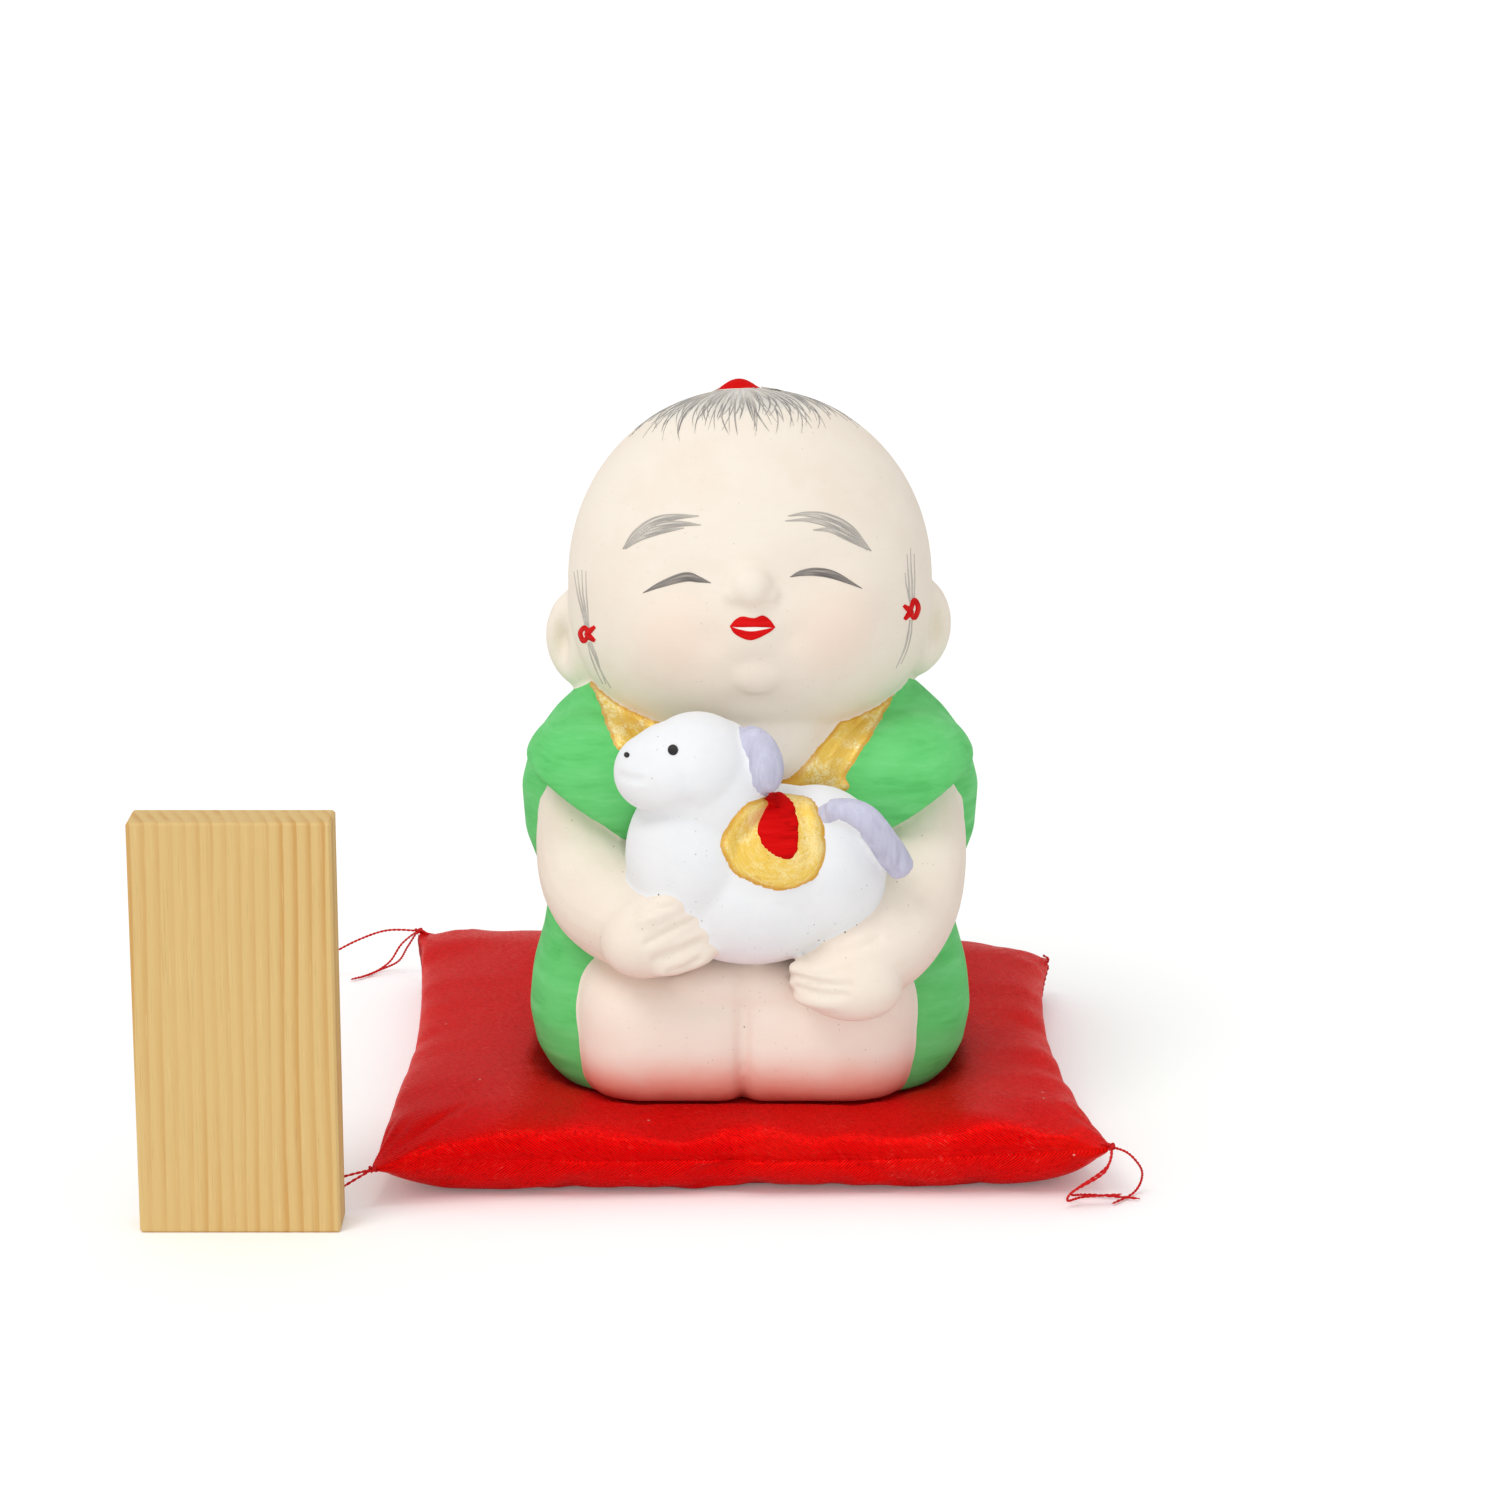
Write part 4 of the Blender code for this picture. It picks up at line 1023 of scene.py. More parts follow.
@dataclass(frozen=True)
class PaintedPatch:
    """A raised patch of paint on the skin, inside an outline seen in the photograph."""

    name: str
    node: str
    outline: tuple[Pixel, ...]
    slot: Slot
    lift: float
    seed: int
    edge: float = 0.0004
    on: tuple[str, ...] = ()
    spine: Bar | None = None
    spine_room: float = 0.025
    spine_fringe: float = 0.0010
    back_y: float = -0.008

    def beside_spine(self, points: Array) -> Array:
        """How far each point lies beyond the round bar along the spine; inside the bar it is negative."""
        count = 40
        line = smooth_line(self.spine.places, count)
        girths = [self.spine.radius * share for share in self.spine.shares]
        girth = np.interp(np.linspace(0, 1, count), np.linspace(0, 1, len(girths)), girths)
        near = np.flatnonzero(np.linalg.norm(points - line.mean(axis=0), axis=1) < self.spine_room)
        away = np.full(len(points), self.spine_room)
        away[near] = (np.linalg.norm(points[near, None] - line[None], axis=2) - girth).min(axis=1)
        return away


@dataclass
class CastingSkin:
    """The fused skin of all castings, with the distance of each of its points to each casting."""

    forms: dict[str, Any]
    grooves: tuple[Groove, ...]
    reach: float = 0.0040
    smoothing: int = 8
    border_height: float = 0.00010
    border_length: float = 0.0035
    waver_height: float = 0.00008
    waver_length: float = 0.0016
    overlap: float = 0.0001
    lip: float = 0.0013
    slope: float = 0.12
    wall: float = 0.0008
    patch_lip: float = 0.0007
    patch_slope: float = 0.3
    patch_wall: float = 0.0006
    rim_width: float = 0.0030
    least_island: float = 0.12
    least_facing: float = 0.05
    margin_px: float = 30
    chest_back_y: float = DOLL_MIDDLE_Y + 0.004
    neckline: tuple[Pixel, ...] = (
        (-0.0196, 0.0560), (-0.0160, 0.0489), (-0.0106, 0.0434), (-0.0052, 0.0390), (0, 0.0355),
        (0.0052, 0.0390), (0.0106, 0.0434), (0.0160, 0.0489), (0.0196, 0.0560), (0.030, 0.090), (-0.030, 0.090),
    )
    points: Array = field(init=False)
    normals: Array = field(init=False)
    mesh: bpy.types.Mesh = field(init=False)
    distances: dict[str, Array] = field(init=False)
    seen: Array = field(init=False)
    torso: Array = field(init=False)
    tree: BVHTree = field(init=False)

    def build(self) -> None:
        """Fuse the castings, press the grooves and measure the distances."""
        shapes = {name: form.build() for name, form in self.forms.items()}
        trees = {name: BVHTree.FromBMesh(shape) for name, shape in shapes.items()}
        boxes = {}
        fused = bmesh.new()
        for name, shape in shapes.items():
            corners = np.array([vertex.co for vertex in shape.verts])
            boxes[name] = (corners.min(axis=0) - self.reach, corners.max(axis=0) + self.reach)
            bmesh.ops.recalc_face_normals(shape, faces=shape.faces)
            pour(shape, fused)
            shape.free()
        body = new_piece("fused_castings", fused)
        remesh = body.modifiers.new("fuse", "REMESH")
        remesh.mode = "VOXEL"
        remesh.voxel_size = VOXEL
        soften = body.modifiers.new("soften", "SMOOTH")
        soften.factor = 0.5
        soften.iterations = self.smoothing
        bpy.context.view_layer.update()
        evaluated = body.evaluated_get(bpy.context.evaluated_depsgraph_get())
        self.mesh = bpy.data.meshes.new_from_object(evaluated)
        bpy.data.objects.remove(body)
        self._measure(trees, boxes)
        self._press()
        self._split_chest()
        self.tree = BVHTree.FromPolygons(
            [Vector(point) for point in self.points], [tuple(face.vertices) for face in self.mesh.polygons]
        )
        log.info("fused skin: %d faces", len(self.mesh.polygons))

    def _read(self) -> None:
        """Read the skin's points and normals."""
        self.points = places_of(self.mesh)
        self.normals = np.empty(self.points.size)
        self.mesh.vertex_normals.foreach_get("vector", self.normals)
        self.normals = self.normals.reshape(-1, 3)
        self.seen = CAMERA.pixels(self.points)

    def _measure(self, trees: dict[str, BVHTree], boxes: dict[str, tuple[Array, Array]]) -> None:
        """Find how far each point lies from each casting."""
        self._read()
        self.distances = {}
        for number, (name, tree) in enumerate(trees.items()):
            low, high = boxes[name]
            found = np.full(len(self.points), self.reach)
            near = np.flatnonzero(np.all((self.points > low) & (self.points < high), axis=1))
            for index in near:
                distance = tree.find_nearest(self.points[index], self.reach)[3]
                if distance is not None:
                    found[index] = distance
            uneven = soft_noise(self.points, self.border_length, 40 + number)
            self.distances[name] = found + self.border_height * uneven

    def _press(self) -> None:
        """Press the grooves into the points that face the camera."""
        push = np.zeros(len(self.points))
        facing = self.normals @ -np.array(CAMERA.ahead) > self.least_facing
        for groove in self.grooves:
            line = smooth_line(groove.line, 24)
            low, high = line.min(axis=0) - self.margin_px, line.max(axis=0) + self.margin_px
            near = np.flatnonzero(facing & np.all((self.seen > low) & (self.seen < high), axis=1))
            off = distance_to_line(self.seen[near], line) / groove.width_px
            push[near] = np.maximum(push[near], groove.depth * bell(off))
        self.points -= self.normals * push[:, None]
        self.mesh.vertices.foreach_set("co", self.points.ravel())
        self.mesh.update()
        self._read()

    def _split_chest(self) -> None:
        """Give the robe's skin inside the neckline to the head, whose chest it is."""
        flat = np.column_stack((self.points[:, 0], self.points[:, 2] - FOOT_Z))
        inside = depth_in_outline(flat, np.array(self.neckline))
        inside = np.where(self.points[:, 1] < self.chest_back_y, inside, -self.reach)
        head, robe = self.distances["head"], self.distances["robe"]
        self.torso = self.lead(["robe"])
        self.distances["head"] = np.minimum(head, robe + np.maximum(-inside, 0))
        self.distances["robe"] = robe + np.clip(inside, 0, self.reach)

    def lead(self, names: Sequence[str]) -> Array:
        """How far inside the border of some castings each point lies; outside it is negative."""
        own = np.min([self.distances[name] for name in names], axis=0)
        rest = np.min([far for name, far in self.distances.items() if name not in names], axis=0)
        return rest - own

    def shell(
        self, name: str, inside: Array, height: Array, material: Material,
        wall: float, lip: float, uv: Array | None = None,
    ) -> Piece:
        """Cut a closed shell from the skin.

        Args:
            name: the piece's name.
            inside: how far each point lies inside the piece's border.
            height: how far each point is raised along its normal.
            material: the piece's finish.
            wall: the shell's thickness.
            lip: how far the shell runs on below its neighbours.
            uv: coordinates for each point, if the finish needs its own.

        Returns:
            The piece.
        """
        shape = bmesh.new()
        shape.from_mesh(self.mesh)
        shape.verts.ensure_lookup_table()
        spare = [face for face in shape.faces if max(inside[v.index] for v in face.verts) < -lip]
        kept = np.flatnonzero(inside > -lip - 4 * VOXEL)
        rim_layer = shape.verts.layers.float.new("rim")
        shape.verts.ensure_lookup_table()
        for index in kept:
            shape.verts[index].co = self.points[index] + self.normals[index] * height[index]
            shape.verts[index][rim_layer] = float(np.clip(1 - inside[index] / self.rim_width, 0, 1))
        if uv is not None:
            uv_layer = shape.loops.layers.uv.new("UVMap")
            dropped = set(spare)
            for face in shape.faces:
                if face not in dropped:
                    for loop in face.loops:
                        loop[uv_layer].uv = uv[loop.vert.index]
        bmesh.ops.delete(shape, geom=spare, context="FACES")
        islands = self._islands(shape)
        for small in islands[1:]:
            if len(small) < self.least_island * len(islands[0]):
                bmesh.ops.delete(shape, geom=small, context="FACES")
        piece = new_piece(name, shape, material)
        thick = piece.modifiers.new("wall", "SOLIDIFY")
        thick.thickness = wall
        thick.offset = -1
        thick.use_even_offset = False
        return piece

    def _islands(self, shape: Shape) -> list[list[bmesh.types.BMFace]]:
        """The separate stretches of a shape's faces, the largest first."""
        left = set(shape.faces)
        found = []
        while left:
            seed = left.pop()
            stretch, todo = [seed], [seed]
            while todo:
                for edge in todo.pop().edges:
                    for face in edge.link_faces:
                        if face in left:
                            left.remove(face)
                            stretch.append(face)
                            todo.append(face)
            found.append(stretch)
        return sorted(found, key=len, reverse=True)

    def casting(self, name: str, material: Material) -> Piece:
        """Cut one casting from the skin and hand it over."""
        inside = self.lead([name])
        height = np.where(inside < 0, self.slope * inside, 0)
        piece = self.shell(name + "_skin", inside, height, material, self.wall, self.lip)
        return hand_over(piece, Body.DOLL, [name])

    def patch(self, patch: PaintedPatch, material: Material, uv: Array | None = None) -> Piece:
        """Cut one painted patch from the skin and hand it over."""
        inside = self.seen_depth(patch.outline, 6 * len(patch.outline)) + self.waver(patch.seed)
        inside = np.minimum(inside, patch.back_y - self.points[:, 1])
        if patch.on:
            inside = np.minimum(inside, self.lead(patch.on) + self.overlap)
        if patch.spine:
            away = patch.beside_spine(self.points)
            inside = np.minimum(np.maximum(inside, -away), patch.spine_fringe - away)
        return self.raised(patch.name, patch.node, inside, patch.lift, patch.edge, material, patch.slot, uv)

    def seen_depth(self, outline: Sequence[Pixel], count: int) -> Array:
        """How deep each point lies inside an outline seen in the photograph, in metres."""
        return depth_in_outline(self.seen, smooth_line(outline, count, closed=True)) / PX_PER_M

    def waver(self, seed: int) -> Array:
        """How far a brushed border wavers at each point."""
        return self.waver_height * soft_noise(self.points, self.waver_length, seed)

    def raised(
        self, name: str, node: str, inside: Array, lift: float, edge: float,
        material: Material, slot: Slot, uv: Array | None,
    ) -> Piece:
        """Make a raised patch from its depth inside its border."""
        share = np.clip(inside / edge, 0, 1)
        height = np.where(inside > 0, lift * share * (2 - share), self.patch_slope * inside)
        piece = self.shell(name, inside, height, material, self.patch_wall + lift, self.patch_lip, uv)
        return hand_over(piece, Body.DOLL, [node] if node else ())

    def hit(self, pixel: Sequence[float]) -> tuple[Vector, Vector]:
        """Where the camera's ray through a pixel meets the skin, and the skin's way out there."""
        where, normal, _, _ = self.tree.ray_cast(Vector(CAMERA.place), CAMERA.ray(pixel))
        if where is None:
            raise ValueError(f"no skin at pixel {tuple(pixel)}")
        return where, normal


@dataclass(frozen=True)
class Mark:
    """One painted mark between two lines seen in the photograph, with its number of points each way."""

    upper: tuple[Pixel, ...]
    lower: tuple[Pixel, ...]
    along: int = 28
    across: int = 4

    @staticmethod
    def stroke(*points: tuple[float, float, float]) -> "Mark":
        """A brush stroke from its middle line and its width at each point."""
        least_width = 0.5
        line = smooth_line(points, Mark.along)
        way = np.gradient(line[:, :2], axis=0)
        way /= np.hypot(*way.T)[:, None] + TINY
        side = np.column_stack((-way[:, 1], way[:, 0])) * np.maximum(line[:, 2:], least_width) / 2
        upper, lower = line[:, :2] - side, line[:, :2] + side
        return Mark(tuple(map(tuple, upper)), tuple(map(tuple, lower)))


@dataclass
class MarkPainter:
    """Lays painted marks on the skin as thin raised strips."""

    skin: CastingSkin
    lift: float = 0.00004
    depth: float = 0.00012

    def strip(self, shape: Shape, rows: Array, uv_layer: Any, load_layer: Any) -> None:
        """Add one strip, given as rows of pixels along and across it."""
        along, across = rows.shape[:2]
        made = bmesh.ops.create_grid(shape, x_segments=along - 1, y_segments=across - 1, size=0.5)["verts"]
        for vertex in made:
            u, v = vertex.co.x + 0.5, vertex.co.y + 0.5
            pixel = rows[round(u * (along - 1)), round(v * (across - 1))]
            where, normal = self.skin.hit(pixel)
            vertex[load_layer] = 1
            for loop in vertex.link_loops:
                loop[uv_layer].uv = (u, v)
            vertex.co = where + normal * self.lift

    def paint(self, name: str, marks: Iterable[Mark], material: Material, slot: Slot) -> Piece:
        """Make one piece from several marks and hand it over."""
        shape = bmesh.new()
        uv_layer = shape.loops.layers.uv.new("UVMap")
        load_layer = shape.verts.layers.float.new("load")
        for mark in marks:
            upper = smooth_line(mark.upper, mark.along)
            lower = smooth_line(mark.lower, mark.along)
            steps = np.linspace(0, 1, mark.across)[None, :, None]
            rows = upper[:, None, :] * (1 - steps) + lower[:, None, :] * steps
            self.strip(shape, rows, uv_layer, load_layer)
        return self.close(name, shape, material, slot)

    def close(self, name: str, shape: Shape, material: Material, slot: Slot) -> Piece:
        """Turn the strips outwards, give them their thickness and hand them over."""
        for face in shape.faces:
            face.normal_update()
            middle = face.calc_center_median()
            if face.normal.dot(middle - Vector((0, 0, middle.z))) < 0:
                face.normal_flip()
        piece = new_piece(name, shape, material)
        thick = piece.modifiers.new("wall", "SOLIDIFY")
        thick.thickness = self.depth
        thick.offset = -1
        return hand_over(piece, Body.DOLL)


LIP_POINTS = (40, 6)


@dataclass
class Face:
    """Everything painted on the face in grey and red."""

    painter: MarkPainter
    brows: tuple[Mark, ...] = (
        Mark.stroke((623, 549, 1), (636, 534, 8), (655, 521.5, 9), (676, 517, 6), (699, 516, 0.8)),
        Mark.stroke((628, 547, 1), (645, 532, 8), (664, 525.5, 8), (684, 524, 5), (701, 525, 0.8)),
        Mark.stroke((625, 549, 1), (640, 538, 6), (658, 532, 6), (684, 528, 0.8)),
        Mark.stroke((788, 516, 0.8), (806, 514, 5), (828, 518, 9), (850, 530, 9), (871, 551, 1)),
        Mark.stroke((785, 521, 0.8), (808, 520, 4), (832, 525, 8), (852, 537, 7), (868, 550, 1)),
        Mark.stroke((813, 530, 0.8), (830, 530, 5), (848, 538, 6), (866, 549, 1)),
    )
    eyes: tuple[Mark, ...] = (
        Mark.stroke((643, 593, 0.6), (661, 584.5, 6), (685, 577, 9.5), (699, 579.5, 6), (711, 583, 0.6)),
        Mark.stroke((790, 577, 0.6), (802, 573, 6), (818, 572, 8.5), (836, 576, 7.5), (862, 588.5, 0.6)),
    )
    lips: tuple[Mark, ...] = (
        Mark(
            ((730, 626), (735, 620), (742, 616.5), (750, 617.8), (755, 618), (763, 615.5), (770, 620), (775, 627)),
            ((730, 626.4), (735, 627), (742, 627.2), (750, 627), (757, 627), (764, 627.2), (770, 627.4), (775, 627.4)),
            *LIP_POINTS,
        ),
        Mark(
            ((730, 626.2), (738, 629), (751, 631.3), (764, 629.5), (775, 627)),
            ((730, 626.6), (736, 634.5), (751, 640), (768, 633), (775, 627.4)),
            *LIP_POINTS,
        ),
    )
    mouth: tuple[Mark, ...] = (
        Mark(((733, 625), (751, 624), (772, 625)), ((733, 628), (751, 634), (772, 628)), 16, 5),
    )
    bows: tuple[Mark, ...] = (
        Mark.stroke((589, 634, 4), (585, 627.5, 4.6), (580.5, 633, 4.2), (584, 641, 4.6), (589, 635, 4)),
        Mark.stroke((586, 635, 4), (590, 631, 5.4), (595, 626.5, 3)),
        Mark.stroke((586, 633, 4), (590, 637, 5.4), (595, 641, 3)),
        Mark.stroke((910, 611, 4), (914, 600, 4.6), (918, 608, 4.6), (914, 618, 4.4), (910, 611, 4)),
        Mark.stroke((912, 611, 4), (908, 609, 5.4), (903.5, 605.5, 3)),
        Mark.stroke((912, 610, 4), (909, 614, 5.4), (904.5, 619.5, 3)),
    )

    def build(self) -> None:
        """Paint the face."""
        brow = InkFinish("ink_brow", linear(146, 142, 138), least=0.25, most=0.9, streak=(2.2, 5, 1)).dress()
        eye = InkFinish("ink_eye", linear(112, 106, 103), least=0.7, most=1.0, streak=(2.2, 4, 1)).dress()
        red = PaintFinish(
            "paint_lip_red", linear(214, 6, 10), linear(222, 20, 20), linear(190, 2, 4), specular=0.1
        ).dress()
        white = ClayFinish("clay_mouth_white", linear(250, 246, 240), linear(240, 234, 226), 0).dress()
        self.painter.paint("brows", self.brows, brow, Slot.INK)
        self.painter.paint("eyes", self.eyes, eye, Slot.INK)
        self.painter.paint("mouth_white", self.mouth, white, Slot.WHITE)
        lips = MarkPainter(self.painter.skin, lift=0.00009, depth=0.00020)
        lips.paint("lips", self.lips, red, Slot.RED)
        lips.paint("side_bows", self.bows, red, Slot.RED)


@dataclass
class Hair:
    """The painted hair: a grey wash with fine strands round the crown, and a lock at each temple."""

    painter: MarkPainter
    crown: Vector = from_foot(-0.0012, 0.0025, 0.0884)
    front_reach: float = 0.0118
    side_reach: float = 0.0126
    back_reach: float = 0.0125
    wash_depth: float = 0.012
    wash_lift: float = 0.00002
    wash_edge: float = 0.0006
    skull_width: float = 0.046
    outside: float = 1.6
    strands: int = 190
    strand_seed: int = 11
    locks: tuple[Mark, ...] = (
        Mark.stroke((574, 572, 0.5), (578, 595, 1.0), (583, 615, 1.5), (586, 628, 1.2)),
        Mark.stroke((577.5, 570, 0.5), (580, 592, 1.1), (584.5, 614, 1.6), (587, 628, 1.2)),
        Mark.stroke((582, 570, 0.5), (583, 592, 1.1), (586, 614, 1.5), (588, 628, 1.2)),
        Mark.stroke((586, 571, 0.5), (586.5, 592, 0.9), (588, 614, 1.2), (589, 628, 1.0)),
        Mark.stroke((589, 642, 1.4), (593, 652, 1.9), (600, 669, 1.4), (611, 688, 0.5)),
        Mark.stroke((591, 642, 1.0), (596, 654, 1.2), (600, 668, 1.0), (606, 684, 0.5)),
        Mark.stroke((588, 643, 0.9), (591, 656, 1.2), (597, 672, 0.9), (603, 684, 0.5)),
        Mark.stroke((907, 554, 0.5), (908, 572, 1.0), (909, 588, 1.5), (910, 602, 1.2)),
        Mark.stroke((910.5, 548, 0.5), (911, 568, 1.0), (912, 586, 1.4), (912, 600, 1.2)),
        Mark.stroke((914, 554, 0.5), (914.5, 570, 0.7), (914.5, 586, 1.0), (914, 598, 0.9)),
        Mark.stroke((905, 573, 0.5), (906, 584, 0.9), (908, 594, 1.2), (910, 603, 1.1)),
        Mark.stroke((910, 620, 1.2), (908, 634, 1.7), (904, 650, 1.4), (896, 668, 0.5)),
        Mark.stroke((912, 620, 0.9), (911, 634, 1.1), (907, 650, 0.9), (901, 664, 0.5)),
    )

    def build(self) -> None:
        """Paint the hair."""
        skin = self.painter.skin
        offset = skin.points - np.array(self.crown)
        angle = np.arctan2(offset[:, 1], offset[:, 0])
        radius = np.hypot(offset[:, 0], offset[:, 1])
        around = np.column_stack((np.cos(angle), np.sin(angle)))
        reach = self.reach(angle) * (1 + 0.05 * soft_noise(around, 0.35, 3) + 0.05 * soft_noise(around, 0.07, 4))
        inside = np.minimum(reach - radius, skin.lead(["head"]))
        inside = np.where(offset[:, 2] > -self.wash_depth, inside, -self.wash_depth)
        uv = np.column_stack((angle / math.tau, radius / self.side_reach))
        wash = InkFinish("ink_hair_wash", linear(198, 196, 192), least=0.40, most=0.95, streak=(110, 1.6, 1)).dress()
        piece = skin.raised("hair_wash", "", inside, self.wash_lift, self.wash_edge, wash, Slot.INK, uv)
        load = piece.data.attributes.new("load", "FLOAT", "POINT")
        away = places_of(piece.data) - np.array(self.crown)
        share = np.hypot(away[:, 0], away[:, 1]) / self.reach(np.arctan2(away[:, 1], away[:, 0]))
        load.data.foreach_set("value", np.clip((1.12 - share) * 2.2, 0, 1).astype(np.float32))
        strand = InkFinish("ink_hair", linear(146, 143, 140), least=0.6, most=1.0, streak=(3, 1, 1)).dress()
        self._strands(strand)
        lock = InkFinish("ink_lock", linear(172, 168, 162), least=0.5, most=0.95, streak=(3, 1, 1)).dress()
        self.painter.paint("side_locks", self.locks, lock, Slot.INK)

    def reach(self, angle: Array) -> Array:
        """How far the wash reaches from the crown, by the angle round it; the front is at minus a quarter turn."""
        ahead = -np.sin(angle)
        ends = np.where(ahead > 0, self.front_reach, self.back_reach)
        return self.side_reach + (ends - self.side_reach) * np.abs(ahead) ** 3

    def _strands(self, material: Material) -> None:
        """Lay the fine strands round the crown, straight down on the skull."""
        dice = random.Random(self.strand_seed)
        shape = bmesh.new()
        uv_layer = shape.loops.layers.uv.new("UVMap")
        load_layer = shape.verts.layers.float.new("load")
        tree = self.painter.skin.tree
        for number in range(self.strands):
            turn = math.tau * (number + dice.uniform(-0.45, 0.45)) / self.strands
            full = float(self.reach(np.array(turn)))
            start = full * dice.uniform(0.20, 0.72)
            end = full * dice.uniform(0.88, 1.24)
            bend = dice.uniform(-0.14, 0.14) - 0.22 * math.cos(turn) * (1 if math.sin(turn) < 0 else -1)
            width = dice.uniform(0.00007, 0.00019)
            made = bmesh.ops.create_grid(shape, x_segments=9, y_segments=2, size=0.5)["verts"]
            for vertex in made:
                u, v = vertex.co.x + 0.5, vertex.co.y + 0.5
                reach = start + (end - start) * u
                around = turn + bend * u**2
                way = Vector((math.cos(around), math.sin(around), 0))
                side = Vector((-way.y, way.x, 0))
                taper = width * (1 - u) ** 0.5 * min(1, 3 * u + 0.15)
                across = self.crown + way * reach + side * (v - 0.5) * 2 * taper
                # The strand lies where a ray from the head's middle leaves the skin.
                drop = reach**2 / self.skull_width
                aim = Vector((across.x, across.y, self.crown.z - drop)) - HEAD_MIDDLE
                where, normal, _, _ = tree.ray_cast(HEAD_MIDDLE + aim * self.outside, -aim)
                vertex[load_layer] = 0.45 + 0.55 * min(1, 2.2 * u)
                for loop in vertex.link_loops:
                    loop[uv_layer].uv = (u, number * 0.37 + v * 0.1)
                vertex.co = where + normal * (self.painter.lift + self.wash_lift)
        self.painter.close("hair_strands", shape, material, Slot.INK)


@dataclass
class HorseFace:
    """The toy horse's eyes and nostril, dabbed on in black."""

    painter: MarkPainter
    eye: tuple[float, float, float] = (673, 750, 5.2)
    nostril: tuple[float, float, float] = (627, 755, 2.6)

    def dot(self, x: float, y: float, radius: float) -> Mark:
        """A round dab as a mark."""
        turns = np.linspace(0, math.pi, 13)
        left = tuple((x - radius * math.cos(t), y - radius * math.sin(t)) for t in turns)
        right = tuple((x - radius * math.cos(t), y + radius * math.sin(t)) for t in turns)
        return Mark(left, right, 17, 9)

    def build(self) -> None:
        """Paint the dabs."""
        black = PaintFinish(
            "paint_black", linear(30, 26, 26), linear(48, 44, 42), linear(16, 14, 14), specks=0, roughness=0.5
        ).dress()
        painter = MarkPainter(self.painter.skin, lift=0.00010, depth=0.00025)
        painter.paint("horse_dabs", [self.dot(*self.eye), self.dot(*self.nostril)], black, Slot.INK)


